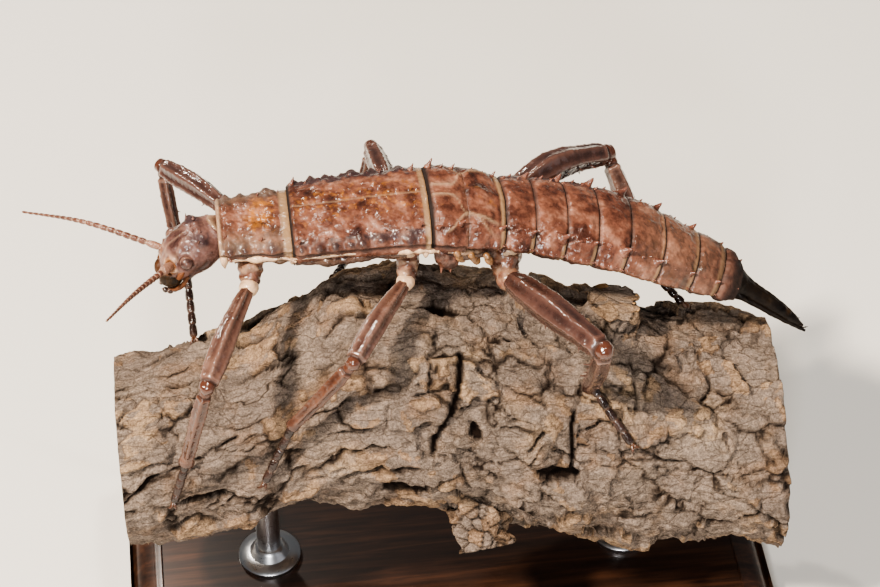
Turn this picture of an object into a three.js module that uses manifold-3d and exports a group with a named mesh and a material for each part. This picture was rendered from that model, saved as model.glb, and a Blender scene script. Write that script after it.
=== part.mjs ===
// A giant spiny stick insect (Eurycantha), an adult female at life size, gripping a cut length of
// branch on a plain display stand. Millimetres, +Z up, head toward -X, the animal's left toward -Y.
// The origin is the middle of the stand's underside.
//
// The animal's trunk is one long tapering barrel that follows a bent middle line and is parted
// into its shell plates by thin gaps. Everything that is round in section is a cylinder wrapped
// onto a curve, so each piece is one closed body.
import * as THREE from 'three';
import { mergeVertices } from 'three/addons/utils/BufferGeometryUtils.js';
import Module from 'manifold-3d';

const wasm = await Module();
wasm.setup();

const { clamp, degToRad, lerp, smoothstep } = THREE.MathUtils;

// ---------------------------------------------------------------- driving dimensions
const GAP = 0.3; // clearance between neighbouring pieces

// Shell plates from the collar to the tail: length, half width of the front and hind edge, droop
// and swing (degrees) of that stretch, roof rise and belly depth as parts of the half width.
const TRUNK_START = [-43, 10, 95.5]; // front rim of the pronotum, at the height of the side margins
const PLATES = [
  { name: 'thorax_pro', length: 13.8, half: [7.2, 8.5], droop: -2, swing: 0, roof: 0.34, belly: 0.62 },
  { name: 'thorax_meso', length: 26.3, half: [9.6, 10.6], droop: -2, swing: 0, roof: 0.4, belly: 0.64 },
  { name: 'thorax_meta', length: 6.9, half: [10.8, 10.9], droop: 10, swing: 0, roof: 0.42, belly: 0.64 },
  { name: 'abdomen_1', length: 7.7, half: [10.8, 9.3], droop: 14, swing: 0, roof: 0.44, belly: 0.62 },
  { name: 'abdomen_2', length: 6, half: [9.3, 9.7], droop: 14, swing: 2, roof: 0.47, belly: 0.62 },
  { name: 'abdomen_3', length: 6.3, half: [9.7, 10], droop: 16, swing: 3, roof: 0.5, belly: 0.62 },
  { name: 'abdomen_4', length: 6.3, half: [10, 10.1], droop: 17, swing: 4, roof: 0.52, belly: 0.62 },
  { name: 'abdomen_5', length: 6.6, half: [10.1, 9.9], droop: 20, swing: 6, roof: 0.54, belly: 0.62 },
  { name: 'abdomen_6', length: 7.5, half: [9.9, 9.2], droop: 25, swing: 8, roof: 0.56, belly: 0.62 },
  { name: 'abdomen_7', length: 8.1, half: [9.1, 7.7], droop: 26, swing: 10, roof: 0.58, belly: 0.64 },
  { name: 'abdomen_8', length: 6.1, half: [7.7, 6.2], droop: 24, swing: 13, roof: 0.6, belly: 0.68 },
  { name: 'abdomen_9', length: 4.6, half: [6.2, 4.5], droop: 27, swing: 15, roof: 0.62, belly: 0.72 },
];
const PLATE_MESH = { sides: 16, ringEvery: 3.6, mostRings: 4 };
const RIM = { rise: 0.035, from: 0.8, to: 0.92, neck: 0.12 }; // a proud hind rim, a drawn-in front
const BELLY_TUCK = 0.3; // how far the underside draws in below the side margins
const BELLY_ROUND = 0.8; // below 1, the underside is boxier than an ellipse

// Thorns come in left and right pairs: the place along a plate, degrees above the side margin,
// length and foot radius. Those of the abdomen shrink with the plate's half width.
const THORNS = {
  thorax_pro: [
    { at: 0.1, above: -6, length: 1.6, radius: 1 },
    { at: 0.72, above: -4, length: 1.5, radius: 0.9 },
    { at: 0.6, above: 40, length: 1.3, radius: 0.7 },
  ],
  thorax_meso: [
    ...[0, 1, 2, 3, 4, 5, 6, 7].map((i) => ({
      at: 0.1 + i * 0.095, above: 2, length: i % 2 ? 0.6 : 1, radius: 0.65,
    })),
    { at: 0.06, above: 28, length: 1.5, radius: 0.7 },
    { at: 0.9, above: 38, length: 1.7, radius: 0.8 },
  ],
  thorax_meta: [
    { at: 0.18, above: 34, length: 1.6, radius: 0.75 },
    { at: 0.5, above: 4, length: 1.1, radius: 0.7 },
    { at: 0.78, above: 48, length: 1.8, radius: 0.8 },
  ],
};
const ABDOMEN_THORNS = [
  { at: 0.86, above: 38, length: 2, radius: 0.9 },
  { at: 0.5, above: 42, length: 0.8, radius: 0.6 },
  { at: 0.84, above: -4, length: 1.1, radius: 0.7 },
];
const ABDOMEN_TOOTH = { at: 0.4, above: 0, length: 0.6, radius: 0.5 };
const FIRST_TOOTHED = 5; // from this plate on, the margin is clear of the hips and has the tooth
const FULL_HALF = 10; // half width at which the abdomen's thorns have their full size
const THORN_LEAN = { up: 0.8, tail: 0.35 };

// The head: profiles from the neck to the face, and what it carries as [ahead, out, up].
const HEAD = {
  back: [-0.6, 0, -0.4], length: 13.3, droop: 25, swing: 16,
  width: [4.4, 4.8, 4.95, 4.8, 4.4, 3.6, 2.6],
  top: [3.6, 4.2, 4.4, 4.3, 3.7, 1.9, -0.6],
  bottom: [3.6, 4.2, 4.5, 4.7, 4.8, 4.4, 3.4],
};
const NECK = { radius: 3.2, into: [2, 0, -1] };
const EYE = { radius: 1.4, at: [7.35, 4.3, 1.45] };
const CROWN_THORNS = [
  { at: [3.5, 3.2, 2.9], length: 1.6, radius: 0.7, splay: 0.5 },
  { at: [1.9, 1.9, 4], length: 0.9, radius: 0.6, splay: 0.2 },
];
const JAWS = {
  ahead: 12.9, top: -0.8, height: 4.6, lean: 1.2,
  width: [2.9, 3.1, 2.9, 2.2],
  depth: [1.3, 1.6, 1.5, 0.9],
};
const SHORT_PALP = [[12, 1.4, -4.9], [13.3, 1.3, -5.7], [14.3, 1.1, -5.4]];
const LONG_PALP = [[11.2, 2.6, -4], [13.2, 2.4, -5.1], [14.8, 2.1, -4.6]];
const PALP_RADII = [0.55, 0.6, 0.5, 0.55, 0.4];
// Feelers: root on the head, then the middle and the tip of the lash as steps from the root.
const FEELER = { root: [10.2, 2.6, 1.6], scape: 0.8, scapeEnd: 0.1, lash: 0.52, taper: 0.22 };
const FEELERS = {
  left: { side: 1, bend: [-6.8, -9.7, 2.9], tip: [-12.2, -20.7, 7.1] },
  right: { side: -1, bend: [-14.1, 6.7, 1.9], tip: [-27.1, 17.2, -3.5] },
};

// The egg-laying beak: an upper and a lower valve that run to one sharp point, and two cerci.
const BEAK = { droop: 34, swing: 18 };
const UPPER_VALVE = {
  length: 16.5,
  half: [3.8, 2.4, 1.8, 1.5, 1.1, 0.4],
  top: [2.3, 1.1, 0.8, 0.6, 0.3, -0.2],
  bottom: [-0.5, -0.5, -0.5, -0.6, -0.7, -0.9],
};
const LOWER_VALVE = {
  length: 18.5,
  half: [3.7, 2.4, 1.9, 1.5, 1.1, 0.4],
  top: [-0.8, -0.8, -0.8, -0.9, -1, -1.2],
  bottom: [-3.4, -2.8, -2.4, -2.1, -1.9, -1.7],
};
const CERCUS = { points: [[0.9, 2, 0.6], [2.6, 2.9, 0.8], [4, 2.8, 0.6]], radii: [0.6, 0.5, 0.35] };

// Legs by pair: the trochanter ball (X, out from the midline, below the margin) and its radius,
// lengths of the long parts, and their radii from the body outward.
const PAIRS = {
  front: {
    hip: [-37.7, 8.6, 7], ball: 1.7, femur: 24.6, tibia: 23,
    femurRadii: [1.4, 1.8, 2.1, 2.3, 2.2, 1.9, 1.8, 1.4], tibiaRadii: [1.1, 1.3, 1.3, 1.2, 1.2, 1.3],
    femurThorns: { count: 3, length: 1 }, tibiaThorns: { count: 3, length: 0.8 },
  },
  middle: {
    hip: [-7.5, 9.2, 10], ball: 1.6, femur: 23, tibia: 21,
    femurRadii: [1.4, 1.7, 1.9, 2.1, 2, 1.8, 1.8, 1.4], tibiaRadii: [1.1, 1.3, 1.3, 1.2, 1.1, 1.2],
    femurThorns: { count: 3, length: 1 }, tibiaThorns: { count: 3, length: 0.8 },
  },
  hind: {
    hip: [11.6, 9.4, 8], ball: 2.2, femur: 29.5, tibia: 25,
    femurRadii: [2, 2.5, 2.8, 3, 2.8, 2.4, 2.3, 1.7], tibiaRadii: [1.4, 1.8, 1.9, 1.8, 1.6, 1.6],
    femurThorns: { count: 5, length: 1.8 }, tibiaThorns: { count: 4, length: 1.5 },
  },
};
// The stance of each leg. A direction is [sweep, rise]: degrees from straight out toward the tail,
// and degrees above the level. The foot is a place along X and degrees round the bark from -Y.
// The bow is how far the middle of the femur arches up.
const STANCES = [
  { pair: 'front', side: 'left', femur: [-24, -10], tibia: [-108, -76], foot: [-56, 10], bow: 1 },
  { pair: 'front', side: 'right', femur: [-39, -1], tibia: [168, -48], foot: [-49.6, 118], bow: 1 },
  { pair: 'middle', side: 'left', femur: [-33, -5], tibia: [-96, -55], foot: [-38, 10], bow: 1 },
  { pair: 'middle', side: 'right', femur: [-7, -5], tibia: [-157, -53], foot: [-20, 150], bow: 1 },
  { pair: 'hind', side: 'left', femur: [31, 6], tibia: [179, -62], foot: [34, 34], bow: 0.3 },
  { pair: 'hind', side: 'right', femur: [61, -1], tibia: [160, -42], foot: [50, 124], bow: 4 },
];
const COXA = { inset: 0.55, ahead: 0.6, taper: [1.5, 1.35, 0.95] }; // as parts of the hip and ball
const FEMUR_RIDGES = 0.06;
const SHIN_BOW = 0.5;
const LEG_THORNS = { femur: [0.3, 0.7], tibia: [0.3, 0.85], lean: 0.4, stout: 0.45 };
const TARSUS = { radius: 0.75, joints: 5, waist: 0.14, lift: 0.2 };
const CLAW = { length: 2.4, radii: [0.35, 0.3, 0.25], spread: 24, arch: 0.5, set: 0.3 };

// The branch: stations along X with the middle line's Y and Z and the radius there.
const BRANCH = [
  { x: -66, y: -2.5, z: 48.3, radius: 19.2 },
  { x: -52, y: -0.2, z: 48.6, radius: 20 },
  { x: -40, y: 0, z: 50.4, radius: 19.8 },
  { x: -29, y: 0, z: 55.2, radius: 20.8 },
  { x: -18, y: 0, z: 59, radius: 23.6 },
  { x: 0, y: 0, z: 56.3, radius: 25.2 },
  { x: 18, y: -0.3, z: 49.2, radius: 26.4 },
  { x: 32, y: -1.5, z: 45.6, radius: 26.4 },
  { x: 48, y: -4, z: 42.8, radius: 24.3 },
  { x: 66, y: -6, z: 41.2, radius: 24 },
];
const BARK = { sides: 20, steps: 18, lump: 0.5, flatten: 0.07, flattenAt: 45 };
// Stumps of lost side shoots: place along X, degrees round, reach from the middle line, radii.
const STUMPS = [
  { x: 30, round: 98, reach: 29, radii: [8, 5.5] },
  { x: 1, round: -42, reach: 33, radii: [9, 5] },
];
const STUMP_LEAN = 4;

const BASE = { length: 136, width: 76, thickness: 8, corner: 6, edge: 1 };
const ROD = { radius: 2.5, at: { left: -38, right: 38 }, sunk: 6 };

// ---------------------------------------------------------------- finishes
const finish = (color, roughness, metalness = 0) =>
  new THREE.MeshStandardMaterial({ color, roughness, metalness, flatShading: true });
const SHELL = finish(0x7a3b26, 0.4);
const SHELL_DARK = finish(0x3a1d14, 0.35);
const LIMB = finish(0x5b2c20, 0.35);
const JOINT = finish(0xb08a5c, 0.5);
const FOOT = finish(0x3b332f, 0.6);
const EYE_SHINE = finish(0x2a1a14, 0.15);
const BARK_BROWN = finish(0x8a7360, 0.9);
const STAND_BLACK = finish(0x1d1c1b, 0.4);
const ROD_STEEL = finish(0xb9bcc0, 0.3, 1);

// ---------------------------------------------------------------- solids
const vector = (xyz) => new THREE.Vector3(...xyz);

function signedVolume(geometry) {
  const spot = geometry.attributes.position;
  const index = geometry.index.array;
  const [a, b, c] = [new THREE.Vector3(), new THREE.Vector3(), new THREE.Vector3()];
  let six = 0;
  for (let i = 0; i < index.length; i += 3) {
    a.fromBufferAttribute(spot, index[i]);
    b.fromBufferAttribute(spot, index[i + 1]);
    c.fromBufferAttribute(spot, index[i + 2]);
    six += a.dot(b.cross(c));
  }
  return six / 6;
}

// A closed triangle mesh as a manifold solid, turned outward if it was wrapped inside out.
function solidOf(geometry) {
  const bare = geometry.clone();
  bare.deleteAttribute('normal');
  bare.deleteAttribute('uv');
  const merged = mergeVertices(bare, 1e-5);
  const triVerts = Uint32Array.from(merged.index.array);
  if (signedVolume(merged) < 0) {
    for (let i = 0; i < triVerts.length; i += 3) {
      [triVerts[i], triVerts[i + 1]] = [triVerts[i + 1], triVerts[i]];
    }
  }
  const vertProperties = Float32Array.from(merged.attributes.position.array);
  return new wasm.Manifold(new wasm.Mesh({ numProp: 3, vertProperties, triVerts }));
}

function geometryOf(solid) {
  const mesh = solid.getMesh();
  const geometry = new THREE.BufferGeometry();
  geometry.setAttribute('position', new THREE.BufferAttribute(mesh.vertProperties, 3));
  geometry.setIndex(new THREE.BufferAttribute(mesh.triVerts, 1));
  geometry.computeVertexNormals();
  return geometry;
}

const join = (first, ...others) => others.reduce((whole, part) => whole.add(part), first);
const cut = (first, ...others) => others.reduce((whole, part) => whole.subtract(part), first);

// A unit cylinder wrapped onto a shape: place(t, angle, reach) gives the point at t along the
// length, at an angle round it, and at a reach of 0 on the middle line or 1 on the surface.
function wrap(sides, steps, place) {
  const geometry = new THREE.CylinderGeometry(1, 1, 1, sides, steps);
  const spot = geometry.attributes.position;
  const point = new THREE.Vector3();
  for (let i = 0; i < spot.count; i += 1) {
    point.fromBufferAttribute(spot, i);
    const reach = Math.round(Math.hypot(point.x, point.z));
    const at = place(point.y + 0.5, Math.atan2(point.z, point.x), reach);
    spot.setXYZ(i, at.x, at.y, at.z);
  }
  return solidOf(geometry);
}

// Values spaced evenly along a length, read with eased steps between them.
function along(values) {
  return (t) => {
    const place = clamp(t, 0, 1) * (values.length - 1);
    const i = Math.min(Math.floor(place), values.length - 2);
    return lerp(values[i], values[i + 1], smoothstep(place - i, 0, 1));
  };
}

// A limb-like solid round a curve. `across` is a direction that the curve never runs along, and
// `grow` swells the solid all round and at both ends.
function limb({ points, radius, across, sides = 6, steps = 4, ridges = 0 }, grow = 0) {
  const curve = new THREE.CatmullRomCurve3(points);
  return wrap(sides, steps, (t, angle, reach) => {
    const run = curve.getTangentAt(t);
    const past = Math.trunc(2 * t - 1) * grow;
    const middle = curve.getPointAt(t).addScaledVector(run, past);
    const side = new THREE.Vector3().crossVectors(run, across).normalize();
    const top = new THREE.Vector3().crossVectors(side, run);
    const r = (radius(t) * (1 + ridges * Math.cos((sides / 2) * angle)) + grow) * reach;
    return middle.addScaledVector(side, r * Math.cos(angle)).addScaledVector(top, r * Math.sin(angle));
  });
}

// A thorn: a cone whose foot is sunk below `foot`, leaning along `lean`.
function thorn(foot, lean, length, radius) {
  const sunk = radius * 1.2;
  const geometry = new THREE.ConeGeometry(radius, length + sunk, 4);
  geometry.translate(0, (length - sunk) / 2, 0);
  const upright = new THREE.Vector3(0, 1, 0);
  geometry.applyQuaternion(new THREE.Quaternion().setFromUnitVectors(upright, lean.clone().normalize()));
  geometry.translate(foot.x, foot.y, foot.z);
  return solidOf(geometry);
}

function ball(at, radius) {
  const geometry = new THREE.SphereGeometry(radius, 8, 5);
  geometry.translate(at.x, at.y, at.z);
  return solidOf(geometry);
}

// ---------------------------------------------------------------- frames
// A direction toward the tail that droops below the level and swings toward the animal's left.
function tailward(droop, swing) {
  const [down, turn] = [degToRad(droop), degToRad(swing)];
  const level = Math.cos(down);
  return new THREE.Vector3(level * Math.cos(turn), -level * Math.sin(turn), -Math.sin(down));
}

// The frame of a stretch of the body that runs along `tail`: its own up and its left side.
function frameAlong(middle, tail) {
  const up = new THREE.Vector3(0, 0, 1).addScaledVector(tail, -tail.z).normalize();
  return { middle, tail, up, left: new THREE.Vector3().crossVectors(tail, up) };
}

// A point in such a frame, from its middle: along toward the tail, out to the left, and up.
function pointIn({ middle, tail, up, left }, run, out, rise) {
  return middle.clone().addScaledVector(tail, run).addScaledVector(left, out).addScaledVector(up, rise);
}

// The point of a curve at a place along X, found by halving the range.
function curveAtX(curve, x) {
  let [low, high] = [0, 1];
  for (let i = 0; i < 24; i += 1) {
    const mid = (low + high) / 2;
    if (curve.getPoint(mid).x < x) low = mid;
    else high = mid;
  }
  return curve.getPoint(low);
}

// ---------------------------------------------------------------- trunk
const trunkJoints = [vector(TRUNK_START)];
for (const plate of PLATES) {
  const step = tailward(plate.droop, plate.swing).multiplyScalar(plate.length);
  trunkJoints.push(trunkJoints.at(-1).clone().add(step));
}
const trunkCurve = new THREE.CatmullRomCurve3(trunkJoints);

// The trunk's frame on plate number `index` at t along it.
function trunkFrame(index, t) {
  const place = index + t;
  const held = clamp(place, 0, PLATES.length);
  const tail = trunkCurve.getTangent(held / PLATES.length);
  const middle = trunkCurve.getPoint(held / PLATES.length);
  middle.addScaledVector(tail, (place - held) * PLATES[index].length);
  return frameAlong(middle, tail);
}

// A point on the shell: angle 0 is the left margin, a quarter turn the top of the back.
function trunkPoint(index, t, angle, reach = 1, grow = 0) {
  const plate = PLATES[index];
  const rim = smoothstep(t, RIM.from, RIM.to) - smoothstep(RIM.neck - t, 0, RIM.neck);
  const half = lerp(plate.half[0], plate.half[1], t) * (1 + RIM.rise * rim);
  const rise = Math.sin(angle);
  const above = rise > 0;
  const height = above ? plate.roof * rise : -plate.belly * Math.abs(rise) ** BELLY_ROUND;
  const tuck = above ? 1 : 1 - BELLY_TUCK * Math.abs(rise);
  const out = (half + grow) * Math.cos(angle) * tuck;
  return pointIn(trunkFrame(index, t), 0, out * reach, (half * height + grow * Math.sign(rise)) * reach);
}

function plateSolid(index, grow = 0) {
  const { length } = PLATES[index];
  const ends = (GAP / 2 - grow) / length;
  const rings = Math.min(PLATE_MESH.mostRings, Math.round(length / PLATE_MESH.ringEvery));
  return wrap(PLATE_MESH.sides, rings, (t, angle, reach) =>
    trunkPoint(index, lerp(ends, 1 - ends, t), angle, reach, grow));
}

// The left and right thorn of a pair on plate `index`.
function thornPair(index, { at, above, length, radius }, size = 1) {
  return [above, 180 - above].map((degrees) => {
    const angle = degToRad(degrees);
    const foot = trunkPoint(index, at, angle);
    const { middle, tail, up } = trunkFrame(index, at);
    const lean = foot.clone().sub(middle).normalize();
    lean.addScaledVector(up, above > 0 ? THORN_LEAN.up : 0).addScaledVector(tail, THORN_LEAN.tail);
    return thorn(foot, lean, length * size, radius * size);
  });
}

function plateThorns(index) {
  const { name, half } = PLATES[index];
  if (THORNS[name]) return THORNS[name].flatMap((spec) => thornPair(index, spec));
  const specs = index < FIRST_TOOTHED ? ABDOMEN_THORNS : [...ABDOMEN_THORNS, ABDOMEN_TOOTH];
  return specs.flatMap((spec) => thornPair(index, spec, half[1] / FULL_HALF));
}

// ---------------------------------------------------------------- head
const collar = trunkFrame(0, 0);
const headFrame = frameAlong(
  collar.middle.clone().add(vector(HEAD.back)),
  tailward(-HEAD.droop, -HEAD.swing),
);

// A point of the head: so far ahead of the neck, out to the left and up.
const headPoint = (ahead, out, up) => pointIn(headFrame, -ahead, out, up);
const headPoints = (list, side) => list.map(([ahead, out, up]) => headPoint(ahead, side * out, up));

function skullSolid(grow = 0) {
  const [width, top, bottom] = [along(HEAD.width), along(HEAD.top), along(HEAD.bottom)];
  return wrap(12, 5, (t, angle, reach) => {
    const ahead = t * HEAD.length + grow * (2 * t - 1);
    const middle = (top(t) - bottom(t)) / 2;
    const half = (top(t) + bottom(t)) / 2 + grow;
    const out = (width(t) + grow) * Math.cos(angle) * reach;
    return headPoint(ahead, out, middle + half * Math.sin(angle) * reach);
  });
}

function eyeSolid(side, grow = 0) {
  const [ahead, out, up] = EYE.at;
  return ball(headPoint(ahead, side * out, up), EYE.radius + grow);
}

// A feeler: a thick first joint, then a thin lash that curves to its tip.
function feelerSolid({ side, bend, tip }, grow = 0) {
  const [root] = headPoints([FEELER.root], side);
  const points = [root, root.clone().add(vector(bend)), root.clone().add(vector(tip))];
  const radius = (t) => (t < FEELER.scapeEnd ? FEELER.scape : FEELER.lash - FEELER.taper * t);
  return limb({ points, radius, across: new THREE.Vector3(0, 0, 1), sides: 5, steps: 9 }, grow);
}

// Upper lip and jaws under the front of the head.
function jawSolid(grow = 0) {
  const [width, depth] = [along(JAWS.width), along(JAWS.depth)];
  return wrap(8, 2, (t, angle, reach) => {
    const ahead = JAWS.ahead - JAWS.lean * t * t + (depth(t) + grow) * Math.sin(angle) * reach;
    const drop = JAWS.top - JAWS.height * t + grow * (1 - 2 * t);
    return headPoint(ahead, (width(t) + grow) * Math.cos(angle) * reach, drop);
  });
}

function palpSolid(points, side) {
  const spec = { points: headPoints(points, side), radius: along(PALP_RADII) };
  return limb({ ...spec, across: headFrame.left, sides: 5, steps: 4 });
}

function crownThorns() {
  return [1, -1].flatMap((side) =>
    CROWN_THORNS.map(({ at, length, radius, splay }) => {
      const lean = headFrame.up.clone().addScaledVector(headFrame.left, side * splay);
      return thorn(headPoints([at], side)[0], lean, length, radius);
    }));
}

function neckSolid(grow = 0) {
  const points = [headPoint(1.5, 0, -0.2), collar.middle.clone().add(vector(NECK.into))];
  return limb({ points, radius: () => NECK.radius, across: collar.up, sides: 10, steps: 2 }, grow);
}

// ---------------------------------------------------------------- beak at the tail
const beakFrame = frameAlong(trunkFrame(PLATES.length - 1, 1).middle, tailward(BEAK.droop, BEAK.swing));

function valveSolid({ length, ...shape }, grow = 0) {
  const [half, top, bottom] = [along(shape.half), along(shape.top), along(shape.bottom)];
  return wrap(10, 5, (t, angle, reach) => {
    const middle = (top(t) + bottom(t)) / 2;
    const tall = (top(t) - bottom(t)) / 2 + grow;
    const out = (half(t) + grow) * Math.cos(angle) * reach;
    return pointIn(beakFrame, GAP + t * length, out, middle + tall * Math.sin(angle) * reach);
  });
}

function cercusSolid(side) {
  const points = CERCUS.points.map(([run, out, up]) => pointIn(beakFrame, run, side * out, up));
  return limb({ points, radius: along(CERCUS.radii), across: beakFrame.up, sides: 5, steps: 2 });
}

// ---------------------------------------------------------------- branch
const branchCurve = new THREE.CatmullRomCurve3(BRANCH.map(({ x, y, z }) => new THREE.Vector3(x, y, z)));
const branchEnds = [BRANCH[0].x, BRANCH.at(-1).x];

function branchRadius(x, angle) {
  const next = Math.max(1, BRANCH.findIndex((station) => station.x >= x));
  const [from, to] = [BRANCH[next - 1], BRANCH[next]];
  const round = lerp(from.radius, to.radius, smoothstep(x, from.x, to.x));
  const flat = 1 - BARK.flatten * (1 + Math.cos(2 * (angle - degToRad(BARK.flattenAt))));
  const lumps = Math.sin(3 * angle + x * 0.13) + Math.sin(5 * angle - x * 0.21 + 1);
  return round * flat + BARK.lump * lumps;
}

// A point off the bark: place along X, angle round from the -Y side over the top, height above.
function barkPoint(x, angle, height = 0) {
  const held = clamp(x, ...branchEnds);
  const middle = curveAtX(branchCurve, held);
  const r = branchRadius(held, angle) + height;
  return new THREE.Vector3(x, middle.y - r * Math.cos(angle), middle.z + r * Math.sin(angle));
}

function logSolid(grow = 0) {
  return wrap(BARK.sides, BARK.steps, (t, angle, reach) => {
    const x = lerp(...branchEnds, t);
    return reach ? barkPoint(x, angle, grow) : curveAtX(branchCurve, x);
  });
}

function stumpSolid({ x, round, reach, radii }) {
  const middle = curveAtX(branchCurve, x);
  const angle = degToRad(round);
  const [out, up] = [-reach * Math.cos(angle), reach * Math.sin(angle)];
  const tip = middle.clone().add(new THREE.Vector3(STUMP_LEAN, out, up));
  const across = new THREE.Vector3(1, 0, 0);
  return limb({ points: [middle, tip], radius: along(radii), across, sides: 10, steps: 2 });
}

// The point itself, or the nearest one above it that clears the bark by `clear`.
function offBark(point, clear) {
  const middle = curveAtX(branchCurve, point.x);
  const angle = Math.atan2(point.z - middle.z, middle.y - point.y);
  const pressed = barkPoint(point.x, angle, clear);
  return middle.distanceTo(point) < middle.distanceTo(pressed) ? pressed : point;
}

// ---------------------------------------------------------------- legs
// A direction by sweep and rise, out to the left (side -1) or the right (side 1).
function legRun([sweep, rise], side) {
  const level = Math.cos(degToRad(rise));
  const turn = degToRad(sweep);
  return new THREE.Vector3(level * Math.sin(turn), side * level * Math.cos(turn), Math.sin(degToRad(rise)));
}

// The part of `run` that is square to `axis`, as a direction.
const squareTo = (run, axis) => run.clone().addScaledVector(axis, -run.dot(axis)).normalize();

// Where the joints of a leg are, and the curves of its parts.
function layLeg(stance) {
  const pair = PAIRS[stance.pair];
  const side = stance.side === 'left' ? -1 : 1;
  const [hipX, hipOut, hipDrop] = pair.hip;
  const body = curveAtX(trunkCurve, hipX);
  const hip = new THREE.Vector3(hipX, body.y + side * hipOut, body.z - hipDrop);
  const socket = hip.clone().lerp(body, 1 - COXA.inset);
  socket.x = hipX + COXA.ahead;
  const femurRun = legRun(stance.femur, side);
  const tibiaRun = legRun(stance.tibia, side);
  const kneecap = pair.femurRadii.at(-1);
  const knee = hip.clone().addScaledVector(femurRun, pair.femur);
  const ankle = knee.clone().addScaledVector(tibiaRun, pair.tibia);
  const crest = hip.clone().lerp(knee, 0.5);
  crest.z += stance.bow;
  const clear = TARSUS.radius + GAP;
  const toe = barkPoint(stance.foot[0], degToRad(stance.foot[1]), clear);
  const sole = [0, 0.25, 0.5, 0.75].map((t) => offBark(ankle.clone().lerp(toe, t), clear + TARSUS.lift));
  return {
    pair, hip, femurRun, tibiaRun,
    coxaPoints: [socket, hip],
    femurPoints: [
      hip.clone().addScaledVector(femurRun, pair.ball / 2),
      crest,
      knee.clone().addScaledVector(femurRun, kneecap),
    ],
    tibiaPoints: [
      knee.clone().addScaledVector(tibiaRun, kneecap),
      knee.clone().lerp(ankle, 0.5).addScaledVector(femurRun, SHIN_BOW),
      ankle,
    ],
    tarsusPoints: [...sole, toe],
  };
}

// A row of thorns along the `down` side of a long part of a leg.
function legThorns({ points, radius }, { count, length }, [from, to], down) {
  const curve = new THREE.CatmullRomCurve3(points);
  return Array.from({ length: count }, (_, i) => {
    const t = lerp(from, to, i / (count - 1));
    const foot = curve.getPointAt(t).addScaledVector(down, radius(t) * 0.9);
    const lean = down.clone().addScaledVector(curve.getTangentAt(t), LEG_THORNS.lean);
    return thorn(foot, lean, length, length * LEG_THORNS.stout);
  });
}

// The two claws spread from the toe and arch down to the bark.
function clawSolids(tarsusPoints) {
  const [heel, toe] = tarsusPoints.slice(-2);
  const run = toe.clone().sub(heel).normalize();
  const out = squareTo(toe.clone().sub(curveAtX(branchCurve, toe.x)), run);
  return [-1, 1].map((way) => {
    const spread = run.clone().applyAxisAngle(out, degToRad(way * CLAW.spread));
    const points = [
      toe.clone().addScaledVector(run, -CLAW.set),
      toe.clone().addScaledVector(spread, CLAW.length / 2).addScaledVector(out, CLAW.arch),
      toe.clone().addScaledVector(spread, CLAW.length),
    ];
    return limb({ points, radius: along(CLAW.radii), across: out, sides: 4, steps: 2 });
  });
}

// The four solids of a leg, each cut back from the one before it.
function legSolids(stance, trunkGrown, logGrown) {
  const leg = layLeg(stance);
  const { pair, hip, femurRun, tibiaRun } = leg;
  const across = new THREE.Vector3().crossVectors(femurRun, tibiaRun).normalize();
  const coxa = {
    points: leg.coxaPoints, radius: along(COXA.taper.map((part) => part * pair.ball)),
    across: new THREE.Vector3(1, 0, 0), sides: 7, steps: 1,
  };
  const femur = {
    points: leg.femurPoints, radius: along(pair.femurRadii), across,
    sides: 8, ridges: FEMUR_RIDGES,
  };
  const tibia = { points: leg.tibiaPoints, radius: along(pair.tibiaRadii), across };
  const pads = (t) => TARSUS.radius * (1 - TARSUS.waist * (1 - Math.cos(2 * Math.PI * TARSUS.joints * t)));
  const tarsus = { points: leg.tarsusPoints, radius: pads, across: femurRun, sides: 5, steps: 7 };
  const under = squareTo(tibiaRun, femurRun);
  const inner = squareTo(femurRun, tibiaRun).negate();
  return {
    coxa: cut(join(limb(coxa), ball(hip, pair.ball)), trunkGrown),
    femur: cut(
      join(limb(femur), ...legThorns(femur, pair.femurThorns, LEG_THORNS.femur, under)),
      ball(hip, pair.ball + GAP), limb(coxa, GAP),
    ),
    tibia: cut(
      join(limb(tibia), ...legThorns(tibia, pair.tibiaThorns, LEG_THORNS.tibia, inner)),
      limb(femur, GAP), logGrown,
    ),
    tarsus: cut(join(limb(tarsus), ...clawSolids(leg.tarsusPoints)), limb(tibia, GAP), logGrown),
  };
}

// ---------------------------------------------------------------- stand
function baseSolid() {
  const { length, width, corner, thickness, edge } = BASE;
  const [x, y] = [length / 2 - corner - edge, width / 2 - corner - edge];
  const outline = new THREE.Shape();
  [[x, y], [-x, y], [-x, -y], [x, -y]].forEach(([cx, cy], quarter) => {
    outline.absarc(cx, cy, corner, (quarter * Math.PI) / 2, ((quarter + 1) * Math.PI) / 2);
  });
  outline.closePath();
  const depth = thickness - 2 * edge;
  const bevel = { bevelThickness: edge, bevelSize: edge, bevelSegments: 1 };
  const geometry = new THREE.ExtrudeGeometry(outline, { depth, curveSegments: 3, ...bevel });
  geometry.translate(0, 0, edge);
  return solidOf(geometry);
}

// A rod stands on the base and is sunk a little way into the underside of the branch.
function rodSolid(x, grow = 0) {
  const foot = BASE.thickness + GAP;
  const top = barkPoint(x, -Math.PI / 2).z + ROD.sunk + grow;
  const radius = ROD.radius + grow;
  const geometry = new THREE.CylinderGeometry(radius, radius, top - foot, 16);
  geometry.rotateX(Math.PI / 2);
  geometry.translate(x, curveAtX(branchCurve, x).y, (top + foot) / 2);
  return solidOf(geometry);
}

// ---------------------------------------------------------------- the whole model
const model = new THREE.Group();
function show(name, solid, material) {
  const mesh = new THREE.Mesh(geometryOf(solid), material);
  mesh.name = name;
  model.add(mesh);
}

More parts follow.
